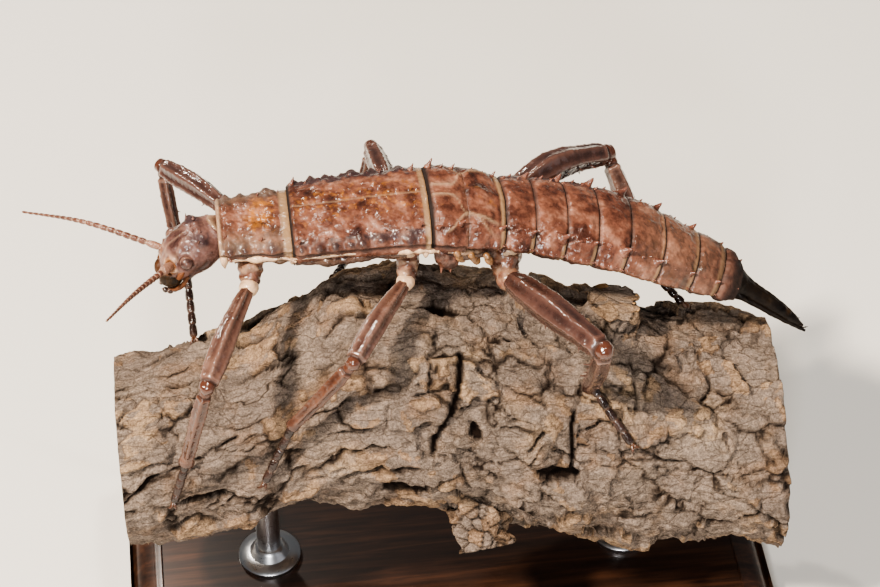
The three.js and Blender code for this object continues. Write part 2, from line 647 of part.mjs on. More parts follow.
const trunkGrown = join(...PLATES.map((plate, index) => plateSolid(index, GAP)));
PLATES.forEach((plate, index) => {
  const shell = join(plateSolid(index), ...plateThorns(index));
  show(plate.name, index === 0 ? cut(shell, neckSolid(GAP)) : shell, SHELL);
});

const sunkInHead = [
  eyeSolid(1, GAP), eyeSolid(-1, GAP),
  feelerSolid(FEELERS.left, GAP), feelerSolid(FEELERS.right, GAP),
  neckSolid(GAP), jawSolid(GAP), trunkGrown,
];
show('head', cut(join(skullSolid(), ...crownThorns()), ...sunkInHead), SHELL);
show('head_neck', neckSolid(), JOINT);
show('head_mouthparts', join(jawSolid(), palpSolid(SHORT_PALP, 1), palpSolid(SHORT_PALP, -1)), SHELL_DARK);

const lastPlate = plateSolid(PLATES.length - 1, GAP);
show('beak_upper', cut(valveSolid(UPPER_VALVE), lastPlate), SHELL_DARK);
show('beak_lower', cut(valveSolid(LOWER_VALVE), lastPlate), SHELL_DARK);
for (const [name, feeler] of Object.entries(FEELERS)) {
  show(`head_eye_${name}`, eyeSolid(feeler.side), EYE_SHINE);
  show(`head_antenna_${name}`, feelerSolid(feeler), LIMB);
  show(`head_palp_${name}`, cut(palpSolid(LONG_PALP, feeler.side), skullSolid(GAP), jawSolid(GAP)), JOINT);
  const cercus = cut(cercusSolid(feeler.side), valveSolid(UPPER_VALVE, GAP), lastPlate);
  show(`beak_cercus_${name}`, cercus, SHELL_DARK);
}

const legFinish = { coxa: JOINT, femur: LIMB, tibia: LIMB, tarsus: FOOT };
const logGrown = logSolid(GAP);
for (const stance of STANCES) {
  for (const [part, solid] of Object.entries(legSolids(stance, trunkGrown, logGrown))) {
    show(`leg_${stance.pair}_${stance.side}_${part}`, solid, legFinish[part]);
  }
}

const rodHoles = Object.values(ROD.at).map((x) => rodSolid(x, GAP));
show('perch_branch', cut(join(logSolid(), ...STUMPS.map(stumpSolid)), ...rodHoles), BARK_BROWN);
show('stand_base', baseSolid(), STAND_BLACK);
for (const [name, x] of Object.entries(ROD.at)) {
  show(`stand_rod_${name}`, rodSolid(x), ROD_STEEL);
}

export default model;
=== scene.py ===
import collections
import functools
import math

import bpy
from mathutils import Matrix, Vector, noise


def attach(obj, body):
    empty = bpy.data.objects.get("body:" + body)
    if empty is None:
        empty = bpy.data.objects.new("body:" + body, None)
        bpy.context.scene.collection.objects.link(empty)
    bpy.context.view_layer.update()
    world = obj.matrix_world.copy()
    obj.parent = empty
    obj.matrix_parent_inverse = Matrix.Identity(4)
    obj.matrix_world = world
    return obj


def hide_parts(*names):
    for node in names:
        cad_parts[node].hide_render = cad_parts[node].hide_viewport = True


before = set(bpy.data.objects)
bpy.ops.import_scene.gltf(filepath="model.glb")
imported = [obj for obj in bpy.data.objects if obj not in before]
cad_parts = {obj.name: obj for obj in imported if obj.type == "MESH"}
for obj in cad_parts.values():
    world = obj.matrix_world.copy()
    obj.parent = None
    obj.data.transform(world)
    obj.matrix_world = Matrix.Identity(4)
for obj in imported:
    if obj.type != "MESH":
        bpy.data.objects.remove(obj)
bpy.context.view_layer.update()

# A giant spiny stick insect, an adult female at life size, gripping a cut length of branch on a
# display stand. Sizes below are millimetres until a piece is made; the head is toward -X, the
# animal's left toward -Y, and the middle of the stand's underside is the origin.

MM = 0.001
noise.seed_set(7)  # without a seed, vector noise is different in each run

# ---------------------------------------------------------------- the animal's measures
# Shell plates from the collar to the tail: length, half width in front and behind, droop and
# swing of that stretch in degrees, roof rise and belly depth as parts of the half width.
Plate = collections.namedtuple("Plate", "name length front hind droop swing roof belly")
PLATES = [Plate(*sizes) for sizes in (
    ("thorax_pro", 13.8, 7.2, 8.5, -2, 0, 0.34, 0.62),
    ("thorax_meso", 26.3, 9.6, 10.6, -2, 0, 0.4, 0.64),
    ("thorax_meta", 6.9, 10.8, 10.9, 10, 0, 0.42, 0.64),
    ("abdomen_1", 7.7, 10.8, 9.3, 14, 0, 0.44, 0.62),
    ("abdomen_2", 6.0, 9.3, 9.7, 14, 2, 0.47, 0.50),
    ("abdomen_3", 6.3, 9.7, 10.0, 16, 3, 0.5, 0.50),
    ("abdomen_4", 6.3, 10.0, 10.1, 17, 4, 0.52, 0.50),
    ("abdomen_5", 6.6, 10.1, 9.9, 20, 6, 0.54, 0.50),
    ("abdomen_6", 7.5, 9.9, 9.2, 25, 8, 0.56, 0.50),
    ("abdomen_7", 8.1, 9.1, 7.7, 26, 10, 0.58, 0.52),
    ("abdomen_8", 6.1, 7.7, 6.2, 24, 13, 0.6, 0.56),
    ("abdomen_9", 4.6, 6.2, 4.5, 27, 15, 0.62, 0.60),
)]
TRUNK_START = (-43, 10, 95.5)
MEDIAN_SEGMENT = 3  # the first abdomen plate, grown together with the thorax

HEAD_LENGTH = 13.3
HEAD_DROOP, HEAD_SWING = 25, 16
HEAD_WIDTH = [4.45, 4.9, 5.05, 4.9, 4.5, 3.7, 2.6]
HEAD_TOP = [3.0, 4.1, 4.45, 4.3, 3.7, 1.9, -0.6]
HEAD_BOTTOM = [3.8, 4.3, 4.6, 4.8, 4.9, 4.5, 3.4]
EYE_PLACE = (7.35, 4.3, 1.45)  # ahead of the neck, out, up

# Each leg: hip (X, out, below the margin), hip ball, lengths and radii of femur and tibia.
Pair = collections.namedtuple("Pair", "hip ball femur tibia femur_radii tibia_radii")
PAIRS = {
    "front": Pair(
        (-37.7, 8.6, 7), 1.7, 24.6, 23,
        [1.25, 1.45, 1.7, 2.0, 2.2, 2.2, 1.95, 1.4], [1.1, 1.3, 1.3, 1.2, 1.2, 1.3]),
    "middle": Pair(
        (-7.5, 9.2, 10), 1.6, 23, 21,
        [1.25, 1.45, 1.7, 1.95, 2.1, 2.0, 1.85, 1.4], [1.1, 1.3, 1.3, 1.2, 1.1, 1.2]),
    "hind": Pair(
        (11.6, 9.4, 8), 2.2, 29.5, 25,
        [2, 2.5, 2.8, 3, 2.8, 2.4, 2.3, 1.7], [1.4, 1.8, 1.9, 1.8, 1.6, 1.6]),
}
# Each stance: sweep and rise of femur and tibia in degrees, the foot's X and degrees round the
# bark, and how far the femur arches.
STANCES = [
    ("front", "left", (-24, -10), (-108, -76), (-56, 10), 1),
    ("front", "right", (-39, -1), (168, -48), (-49.6, 118), 1),
    ("middle", "left", (-33, -5), (-96, -55), (-38, 10), 1),
    ("middle", "right", (-7, -5), (-157, -53), (-20, 150), 1),
    ("hind", "left", (31, 6), (179, -62), (34, 34), 0.3),
    ("hind", "right", (61, -1), (160, -42), (50, 124), 4),
]

# The branch: X, Y and Z of its middle line and its radius.
BRANCH = [
    (-66, -2.5, 48.3, 19.2), (-52, -0.2, 48.6, 20), (-40, 0, 50.4, 19.8), (-29, 0, 55.2, 20.8),
    (-18, 0, 59, 23.6), (0, 0, 56.3, 25.2), (18, -0.3, 49.2, 26.4), (32, -1.5, 45.6, 26.4),
    (48, -4, 42.8, 24.3), (66, -6, 41.2, 24),
]


# ---------------------------------------------------------------- sums and paths
def lerp(a, b, t):
    return a + (b - a) * t


def clamp(value, low=0.0, high=1.0):
    return min(max(value, low), high)


def ease(value, low, high):
    """0 below low, 1 above high, and a soft step between them."""
    t = clamp((value - low) / (high - low))
    return t * t * (3 - 2 * t)


def swell(distance, width):
    """A soft mound, 1 in its middle."""
    return math.exp(-((distance / width) ** 2))


def reading(values):
    """Reads a list of evenly spaced sizes smoothly, from t = 0 to 1."""
    padded = [2 * values[0] - values[1], *values, 2 * values[-1] - values[-2]]

    def read(t):
        place = clamp(t) * (len(values) - 1)
        i = min(int(place), len(values) - 2)
        u = place - i
        a, b, c, d = padded[i:i + 4]
        bend = a - 2.5 * b + 2 * c - d / 2 + u * (1.5 * (b - c) + (d - a) / 2)
        return b + u * ((c - a) / 2 + u * bend)

    return read


class Path:
    """A smooth path through chosen places, read by place number or by length."""

    SAMPLES = 80  # straight runs that its length is measured with

    def __init__(self, places):
        places = [Vector(place) for place in places]
        self.spans = len(places) - 1
        self.places = [places[0] * 2 - places[1], *places, places[-1] * 2 - places[-2]]
        samples = [self.at(i / self.SAMPLES) for i in range(self.SAMPLES + 1)]
        self.runs = [0.0]
        for a, b in zip(samples, samples[1:]):
            self.runs.append(self.runs[-1] + (b - a).length)

    def _span(self, t):
        place = clamp(t) * self.spans
        i = min(int(place), self.spans - 1)
        a, b, c, d = self.places[i:i + 4]
        before, during, after = [math.sqrt(max((q - p).length, 1e-6)) for p, q in ((a, b), (b, c), (c, d))]
        leave = ((b - a) / before - (c - a) / (before + during) + (c - b) / during) * during
        arrive = ((c - b) / during - (d - b) / (during + after) + (d - c) / after) * during
        return place - i, b, c, leave, arrive

    def at(self, t):
        u, b, c, leave, arrive = self._span(t)
        return b + u * (leave + u * (3 * (c - b) - 2 * leave - arrive + u * (2 * (b - c) + leave + arrive)))

    def heading(self, t):
        u, b, c, leave, arrive = self._span(t)
        run = leave + u * (2 * (3 * (c - b) - 2 * leave - arrive) + u * 3 * (2 * (b - c) + leave + arrive))
        return run.normalized()

    def even(self, share):
        """The t that lies at a share of the path's length."""
        goal = clamp(share) * self.runs[-1]
        i = next(k for k in range(1, self.SAMPLES + 1) if self.runs[k] >= goal - 1e-9)
        part = (goal - self.runs[i - 1]) / max(self.runs[i] - self.runs[i - 1], 1e-9)
        return (i - 1 + part) / self.SAMPLES

    def at_x(self, x):
        low, high = 0.0, 1.0
        for _ in range(24):
            middle = (low + high) / 2
            if self.at(middle).x < x:
                low = middle
            else:
                high = middle
        return self.at(low)


def tailward(droop, swing):
    down, turn = math.radians(droop), math.radians(swing)
    return Vector((math.cos(down) * math.cos(turn), -math.cos(down) * math.sin(turn), -math.sin(down)))


class Stretch:
    """A stretch of the body: its middle, and its tailward, up and left directions."""

    def __init__(self, middle, tail):
        self.middle, self.tail = middle, tail
        self.up = (Vector((0, 0, 1)) - tail * tail.z).normalized()
        self.left = tail.cross(self.up)

    def point(self, run, out, rise):
        return self.middle + self.tail * run + self.left * out + self.up * rise


# ---------------------------------------------------------------- making pieces
def deselect():
    bpy.ops.object.select_all(action="DESELECT")


def named_mesh(name):
    """The piece that was just made, given its name."""
    piece = bpy.context.object
    piece.name = piece.data.name = name
    return piece


def edit_selected(parts, chosen, mode):
    """Goes into edit mode on the active piece with just its chosen edges or polygons selected."""
    bpy.ops.object.mode_set(mode="EDIT")
    bpy.ops.mesh.select_all(action="DESELECT")
    bpy.ops.object.mode_set(mode="OBJECT")
    for part in getattr(bpy.context.object.data, parts):
        part.select = chosen(part)
    bpy.ops.object.mode_set(mode="EDIT")
    bpy.ops.mesh.select_mode(type=mode)


def drawn_out(name, sides, rows, row_place, marks=()):
    """A ball primitive whose rows of points are drawn out, one row after another, onto a shape.

    row_place(row) gives a function from the angle round the row to a tuple: the place in mm and
    the value of each mark there. The first and last rows are single points."""
    deselect()
    bpy.ops.mesh.primitive_uv_sphere_add(segments=sides, ring_count=rows)
    piece = named_mesh(name)
    places = {}
    values = [[] for _ in marks]
    for point in piece.data.vertices:
        row = round(math.acos(clamp(point.co.z, -1, 1)) / math.pi * rows)
        if row not in places:
            places[row] = row_place(row)
        place, *marked = places[row](math.atan2(point.co.y, point.co.x))
        point.co = place * MM
        for column, value in zip(values, marked):
            column.append(value)
    for mark, column in zip(marks, values):
        piece.data.attributes.new(mark, "FLOAT", "POINT").data.foreach_set("value", column)
    bpy.ops.object.mode_set(mode="EDIT")
    bpy.ops.mesh.select_all(action="SELECT")
    bpy.ops.mesh.normals_make_consistent(inside=False)
    bpy.ops.object.mode_set(mode="OBJECT")
    bpy.ops.object.shade_smooth()
    return piece


def limb(name, path, radius, across, sides, rows, relief, marks, cap=0.5):
    """A round limb along a path. relief(share, angle, place) adds to the radius and gives marks.

    cap is how far each end bulges, as a part of the radius there."""
    def row_place(row):
        share = clamp((row - 1) / (rows - 2))
        end = row in (0, rows)
        t = path.even(share)
        run = path.heading(t)
        middle = path.at(t)
        if end:
            middle = middle + run * (cap * radius(share) * (1 if row else -1))
        side = run.cross(across).normalized()
        top = side.cross(run)

        def place(angle):
            way = side * math.cos(angle) + top * math.sin(angle)
            plain = middle + way * (0 if end else radius(share))
            lift, *values = relief(share, angle, plain)
            return (plain + way * (0 if end else lift), *values)

        return place

    return drawn_out(name, sides, rows, row_place, marks)


def joined(name, pieces):
    """One piece from several; the first gives the mesh its material slots."""
    deselect()
    for piece in pieces:
        piece.select_set(True)
    bpy.context.view_layer.objects.active = pieces[0]
    if len(pieces) > 1:
        bpy.ops.object.join()
    return named_mesh(name)


def thorn_at(foot, lean, length, stout, back=Vector((0, 0, 1))):
    """A thorn that stands on a place and leans along a direction, its tip bent toward back."""
    up = lean.normalized()
    side = back - up * back.dot(up)
    side = side.normalized() if side.length > 1e-4 else up.orthogonal().normalized()
    turn = Matrix((side, up.cross(side), up)).transposed().to_4x4()
    size = Matrix.Diagonal((length * MM * stout, length * MM * stout, length * MM, 1))
    mesh = THORN.data.copy()
    mesh.transform(Matrix.Translation(foot * MM) @ turn @ size)
    thorn = bpy.data.objects.new(THORN.name, mesh)
    bpy.context.scene.collection.objects.link(thorn)
    return thorn


def fitted(piece, slot, material, *nodes):
    """Gives a finished piece its finish and its place in the frame."""
    if material:
        piece.data.materials.clear()
        piece.data.materials.append(material)
    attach(piece, "root")
    if nodes:
        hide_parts(*nodes)
    return piece


# ---------------------------------------------------------------- finishes
def linear(hex_colour):
    """An sRGB hex colour as the linear colour that shaders use."""
    parts = [int(hex_colour[i:i + 2], 16) / 255 for i in (1, 3, 5)]
    return (*[p / 12.92 if p <= 0.04045 else ((p + 0.055) / 1.055) ** 2.4 for p in parts], 1.0)


def per_mm(size):
    """The texture scale that gives a pattern of about this size in mm on Object coordinates."""
    return 1 / (size * MM)


class Finish:
    """A material built up node by node from patterns that sit in the piece's own space."""

    def __init__(self, name):
        self.material = bpy.data.materials.new(name)
        self.material.use_nodes = True
        self.tree = self.material.node_tree
        self.place = self.add("TexCoord").outputs["Object"]

    def set(self, node, inputs):
        """Fills sockets. A value is a number, an sRGB hex colour, a node (its first output) or a socket."""
        for socket, value in inputs.items():
            if isinstance(value, bpy.types.Node):
                value = value.outputs[0]
            if isinstance(value, bpy.types.NodeSocket):
                self.tree.links.new(value, node.inputs[socket])
            else:
                node.inputs[socket].default_value = linear(value) if isinstance(value, str) else value

    def add(self, kind, inputs=None, **settings):
        node = self.tree.nodes.new("ShaderNode" + kind)
        for name, value in settings.items():
            setattr(node, name, value)
        self.set(node, inputs or {})
        return node

    def mark(self, name):
        return self.add("Attribute", attribute_name=name).outputs["Fac"]

    def stretched(self, scale, shift=(0, 0, 0)):
        return self.add("Mapping", {"Vector": self.place, "Scale": scale, "Location": shift}).outputs[0]

    def noise(self, size, detail=2.0, rough=0.5, warp=0.0, place=None):
        return self.add("TexNoise", {
            "Vector": place or self.place, "Scale": per_mm(size), "Detail": detail, "Roughness": rough,
            "Distortion": warp})

    def cells(self, size, place=None, inputs=None, **settings):
        inputs = {"Vector": place or self.place, "Scale": per_mm(size), **(inputs or {})}
        return self.add("TexVoronoi", inputs, **settings)

    def ramp(self, value, stops):
        node = self.add("ValToRGB", {"Fac": value})
        elements = node.color_ramp.elements
        while len(elements) < len(stops):
            elements.new(1.0)
        for element, (place, colour) in zip(elements, stops):
            element.position, element.color = place, linear(colour)
        return node

    def spread(self, value, low=0.0, high=1.0, start=0.0, end=1.0, **settings):
        """The value stretched from low..high to start..end, and held there."""
        return self.add("MapRange", {
            "Value": value, "From Min": low, "From Max": high, "To Min": start, "To Max": end}, **settings)

    def sum(self, operation, *values):
        return self.add("Math", dict(enumerate(values)), operation=operation)

    def over(self, colour, paint, share):
        """Paint laid over a colour as far as the share says."""
        return self.add("MixRGB", {"Fac": share, "Color1": colour, "Color2": paint})

    def speckled(self, colour, grit, dark, light, low=0.33, high=0.67):
        """A colour made darker and lighter by a fine pattern."""
        fleck = self.spread(grit, low, high, dark, light)
        return self.add("MixRGB", {"Fac": 1.0, "Color1": colour, "Color2": fleck}, blend_type="MULTIPLY")

    def bump(self, height, depth_mm, strength=1.0):
        return self.add("Bump", {"Height": height, "Strength": strength, "Distance": depth_mm * MM})

    def done(self, **sockets):
        """Sets the shader's sockets and gives the material."""
        sockets = {name.replace("_", " "): value for name, value in sockets.items()}
        self.set(self.tree.nodes["Principled BSDF"], sockets)
        return self.material


def cuticle(
        name, tones, patches, marked, gloss, wrinkle, grain=0.5, coat=0.3, grit=1.0, relief=0.22, mirror=0.5):
    """Horn-like insect shell, cast and painted: cloudy browns under a wet-looking varnish.

    tones run from the pits to the high spots. patches are (mark, colour, size, low, high) clouds
    that show only where their mark is. marked are (mark, colour) areas painted all over. gloss is
    the varnish's roughness, wrinkle a size in mm, grain the share of granules in the relief."""
    finish = Finish(name)
    clouds = finish.noise(4.5, 5.0, 0.62)
    colour = finish.ramp(clouds, tones)
    for mark, patch, size, low, high in patches:
        share = finish.sum("ADD", finish.noise(size, 6.0, 0.68, 0.4), finish.mark(mark))
        colour = finish.over(colour, patch, finish.spread(share, low, high, interpolation_type="SMOOTHSTEP"))
    for size, reach in ((0.5, 0.17), (1.5, 0.26)):
        colour = finish.speckled(colour, finish.noise(size, 4.0, 0.6), 1 - reach * grit, 1 + reach * grit)
    for mark, paint in marked:
        colour = finish.over(colour, paint, finish.mark(mark))
    wrinkles = finish.noise(1.8 * wrinkle, 1.6, 0.5, 0.8)
    granules = finish.cells(1.05, None, {"Randomness": 0.9, "Smoothness": 0.35}, feature="SMOOTH_F1")
    bump = finish.bump(finish.sum("MULTIPLY_ADD", granules, -grain, wrinkles), relief)
    shine = finish.spread(clouds, 0.35, 0.65, gloss - 0.08, gloss + 0.12)
    deep = finish.mark("deep")
    return finish.done(
        Base_Color=colour, Roughness=finish.sum("MULTIPLY_ADD", deep, 0.6, shine), Normal=bump,
        Coat_Weight=finish.spread(deep, high=0.5, start=coat, end=0.0), Coat_Roughness=0.18, Coat_Normal=bump,
        IOR=1.46, Specular_IOR_Level=mirror)


def leg_horn(name, tones, ridge="#8b6a5c", wet=0.9):
    """Ridged leg horn, with red-brown knees and paler ridges; the ridges' paleness is partly a painted
    highlight, and the dusk between them painted shade.
    """
    return cuticle(
        name, tones, [("dusk", "#2a1b19", 2.2, 1.0, 1.3)],
        [("ridge", ridge), ("knee", "#57301f"), ("tip", "#5a392d"), ("deep", "#100908")],
        gloss=0.16, wrinkle=0.6, grain=0.15, coat=wet, grit=0.5, relief=0.1)


def facetted_eye():
    """Domed eye of hundreds of facets: dark brown glass over a pale ring."""
    finish = Finish("facetted_eye_glass")
    colour = finish.ramp(finish.noise(1.1, 3.0), [(0.35, "#33221f"), (0.55, "#4d3732"), (0.75, "#6b5048")])
    return finish.done(
        Base_Color=finish.over(colour, "#75584c", finish.mark("rim")), Roughness=0.2,
        Normal=finish.bump(finish.cells(0.16), 0.05, 0.2), IOR=1.45, Coat_Weight=0.25, Coat_Roughness=0.12)


def cracked_bark():
    """Dry branch bark: grey fibrous skin over brown, black-brown painted shade in the cracks, pale where
    rubbed.
    """
    finish = Finish("cracked_branch_bark")
    along = finish.stretched((0.4, 1.0, 1.0))
    worn = finish.mark("worn")
    colour = finish.ramp(finish.noise(15, 7.0, 0.65), [
        (0.32, "#7d6553"), (0.45, "#9c8069"), (0.55, "#b3977c"), (0.68, "#caae90")])
    grey = finish.noise(7, 5.0, 0.6)
    greyed = finish.spread(finish.sum("SUBTRACT", grey, worn), 0.3, 0.5, 0.0, 0.8)
    colour = finish.over(colour, "#93857a", greyed)
    flakes = finish.noise(1.3, 8.0, 0.75, 0.9, along)
    colour = finish.over(colour, "#c6a684", finish.sum("MULTIPLY", worn, flakes))
    for size, dark, light in ((0.45, 0.62, 1.36), (0.22, 0.78, 1.2)):
        colour = finish.speckled(colour, finish.noise(size, 3.0, 0.7), dark, light)
    colour = finish.speckled(colour, flakes, 0.6, 1.3, 0.32, 0.68)
    # Hairline cracks and the crack mark are darkened as painted shade.
    hairline = finish.spread(finish.cells(2.6, along, feature="DISTANCE_TO_EDGE"), 0.0, 0.05, 0.6, 0.0)
    colour = finish.over(colour, "#3b281c", finish.sum("MULTIPLY", hairline, grey))
    colour = finish.over(colour, "#21150d", finish.mark("crack"))
    fibres = finish.noise(0.9, 9.0, 0.78, 1.0, along)
    height = finish.sum("MULTIPLY_ADD", finish.noise(0.4, 4.0, 0.7), 0.45, fibres)
    height = finish.sum("MULTIPLY_ADD", hairline, -0.5, height)
    return finish.done(
        Base_Color=colour, Roughness=0.82, Normal=finish.bump(height, 0.9), IOR=1.4, Specular_IOR_Level=0.25)


def sawn_wood():
    """Bare sawn ends of the branch: pale wood with growth rings round the pith."""
    finish = Finish("sawn_branch_wood")
    pith = finish.stretched((0.05, 1, 1), (0, 4 * MM, -44 * MM))
    ring = {"Vector": pith, "Scale": per_mm(12), "Distortion": 3.0, "Detail": 4.0, "Detail Scale": 1.2}
    rings = finish.add("TexWave", ring, wave_type="RINGS", rings_direction="X")
    return finish.done(
        Base_Color=finish.ramp(rings, [(0.2, "#b48d62"), (0.6, "#cfae82"), (0.9, "#9a744d")]), Roughness=0.75,
        Normal=finish.bump(finish.noise(0.7, 4.0), 0.25, 0.4), IOR=1.45)


def stained_walnut():
    """Dark stained hardwood under satin lacquer, grain along the base."""
    finish = Finish("stained_walnut_lacquer")
    grain = finish.noise(1.5, 8.0, 0.6, 0.5, finish.stretched((0.06, 1.0, 1.0)))
    return finish.done(
        Base_Color=finish.ramp(grain, [(0.3, "#1c110c"), (0.5, "#2f1d14"), (0.7, "#4a2f20")]), Roughness=0.32,
        Normal=finish.bump(grain, 0.1, 0.15), IOR=1.5, Coat_Weight=0.3, Coat_Roughness=0.2)


def brushed_steel():
    """Brushed stainless rod: fine rings round it from the lathe."""
    finish = Finish("brushed_stainless_rod")
    brush = finish.noise(0.15, 3.0, place=finish.stretched((0.1, 0.1, 1.0)))
    return finish.done(
        Base_Color=(0.55, 0.55, 0.56, 1), Roughness=finish.spread(brush, start=0.22, end=0.38),
        Normal=finish.bump(brush, 0.03, 0.15), Metallic=1.0)


# Reddish-brown shell with ochre clouds, violet-black spots, tan hems and paler thorns; its near-black deep
# colour is mostly painted shade in the slots, grooves and steps between plates.
SHELL = cuticle(
    "varnished_shell_horn", [(0.3, "#2b1712"), (0.42, "#4f2f25"), (0.54, "#704737"), (0.7, "#956b58")],
    [("dusk", "#402e2e", 2.4, 0.84, 1.08), ("ochre", "#a0652c", 1.6, 0.92, 1.22)],
    [("cream", "#a98c72"), ("tan", "#8e7053"), ("deep", "#1d100b"), ("tip", "#6b4438")],
    gloss=0.28, wrinkle=0.9, grain=0.6, coat=0.14, grit=0.8, relief=0.19)
# Purplish-brown head, paler and creamier on the face, slate on the crown, with painted shade underneath and in
# its hollows.
HEAD_HORN = cuticle(
    "varnished_head_horn", [(0.3, "#2a1a18"), (0.43, "#4b332e"), (0.56, "#694a42"), (0.72, "#8b685d")],
    [("ochre", "#9c6b45", 2.0, 0.95, 1.3), ("dusk", "#3f2f30", 2.2, 0.95, 1.25)],
    [("cream", "#ab8b76"), ("deep", "#1c0f0c"), ("tip", "#5d3c32")],
    gloss=0.3, wrinkle=0.7, grain=0.35, coat=0.1, grit=0.6, relief=0.08)
# Blackish-brown beak and jaws: thick horn with a dull wet shine, and a brown painted sheen near the beak's
# tip.
DARK_HORN = cuticle(
    "blackish_beak_horn", [(0.3, "#070301"), (0.5, "#100803"), (0.7, "#1d1206")],
    [("brown", "#302010", 1.4, 0.9, 1.35)], [("amber", "#77472a"), ("tip", "#2a1812")],
    gloss=0.46, wrinkle=0.8, grain=0.3, coat=0.02, grit=0.8, relief=0.2, mirror=0.25)
FRONT_LEG = leg_horn("front_leg_horn", [(0.25, "#32201b"), (0.5, "#4f352c"), (0.75, "#6d5043")], wet=0.8)
# Darker horn of the hind legs, also put on the far legs as painted shade.
HIND_AND_SHADED_LEG = leg_horn("hind_leg_horn", [(0.25, "#281815"), (0.5, "#3d2823"), (0.75, "#563b33")], "#6f5045")
SHIN = leg_horn("shin_horn", [(0.25, "#321d15"), (0.5, "#4a2f24"), (0.75, "#674535")], "#704936", 0.35)
HIND_AND_SHADED_SHIN = leg_horn("hind_shin_horn", [(0.3, "#221411"), (0.5, "#3c2822"), (0.7, "#5c433a")])
# Soft creased skin of the hips and neck: cream with brown creases, satin.
JOINT_SKIN = cuticle(
    "creased_joint_skin", [(0.3, "#331d16"), (0.45, "#573629"), (0.6, "#795242"), (0.75, "#99715c")],
    [("dusk", "#3e241b", 1.6, 0.85, 1.2)],
    [("cream", "#d8b592"), ("tan", "#92683f"), ("deep", "#1d100c"), ("tip", "#7a5040")],
    gloss=0.26, wrinkle=0.7)
# Blackish-brown foot joints with paler rings between them.
FOOT_HORN = cuticle(
    "dull_foot_horn", [(0.3, "#150b08"), (0.5, "#261712"), (0.7, "#3f2a23")],
    [("dusk", "#120b0a", 1.5, 1.0, 1.4)], [("cream", "#7d6152"), ("tip", "#140d0b")],
    gloss=0.22, wrinkle=0.5, grain=0.25, coat=0.35, grit=0.6)
# Brown feeler joints ringed with pale skin.
FEELER_HORN = cuticle(
    "ringed_feeler_horn", [(0.3, "#3d231b"), (0.5, "#5d392c"), (0.7, "#7d5545")],
    [("dusk", "#2e1b16", 2.0, 1.0, 1.35)], [("cream", "#b3937b"), ("tan", "#a27b67")],
    gloss=0.32, wrinkle=0.4)
# Brown claws that darken to the point.
CLAW_HORN = cuticle(
    "brown_claw_horn", [(0.3, "#3b2217"), (0.6, "#5d3a25")], [("dusk", "#2e1a12", 1.0, 1.0, 1.4)],
    [("tip", "#1c0f0a")], gloss=0.25, wrinkle=0.5)
EYE_GLASS = facetted_eye()
BARK = cracked_bark()
SAWN_WOOD = sawn_wood()
STAND_WOOD = stained_walnut()
ROD_STEEL = brushed_steel()


# ---------------------------------------------------------------- the thorn that is copied
def faces_up(face):
    return face.normal.z > 0.9


def thorn_pattern():
    """One thorn, a metre tall for scaling: a short drum drawn up in five steps to a bent point."""
    steps = ((0.12, 0.68, 0), (0.18, 0.74, 0.01), (0.24, 0.74, 0.03), (0.26, 0.62, 0.05), (0.2, 0.2, 0.06))
    deselect()
    bpy.ops.mesh.primitive_cylinder_add(vertices=12, radius=0.5, depth=0.3, location=(0, 0, -0.15))
    piece = named_mesh("thorn")
    edit_selected("polygons", faces_up, "VERT")
    height = 0.0
    for rise, narrower, drift in steps:
        height += rise
        bpy.ops.mesh.extrude_region_move(TRANSFORM_OT_translate={"value": (drift, 0, rise)})
        bpy.ops.transform.resize(value=(narrower, narrower, 1), center_override=(drift, 0, height))
    bpy.ops.object.mode_set(mode="OBJECT")
    tips = [ease(point.co.z, 0.3, 1.0) for point in piece.data.vertices]
    piece.data.attributes.new("tip", "FLOAT", "POINT").data.foreach_set("value", tips)
    bpy.ops.object.shade_smooth()
    return piece


THORN = thorn_pattern()


# ---------------------------------------------------------------- trunk
STEP = 0.4  # mm between rows of points along the shell
SIDES = 144
TUCK = 1.2  # how far a plate reaches in under the hem of the one before it
SHELL_MARKS = ("tan", "ochre", "dusk", "cream", "deep")
BELLY_TUCK, BELLY_ROUND = 0.3, 0.8

# Hind hems: width, and how tan they are at the sides and over the back.
HEMS = {
    "thorax_pro": (1.3, 1, 1), "thorax_meso": (1.25, 1, 0.9), "thorax_meta": (0.3, 0.2, 0.1),
    "abdomen_1": (1.1, 1, 1), "abdomen_2": (0.45, 0.9, 0), "abdomen_3": (0.45, 0.9, 0),
    "abdomen_4": (0.45, 0.9, 0), "abdomen_5": (0.5, 0.8, 0), "abdomen_6": (0.65, 0.8, 0.35),
    "abdomen_7": (0.8, 0.7, 0.55), "abdomen_8": (0.95, 0.85, 0.7), "abdomen_9": (0.8, 0.5, 0.4),
}
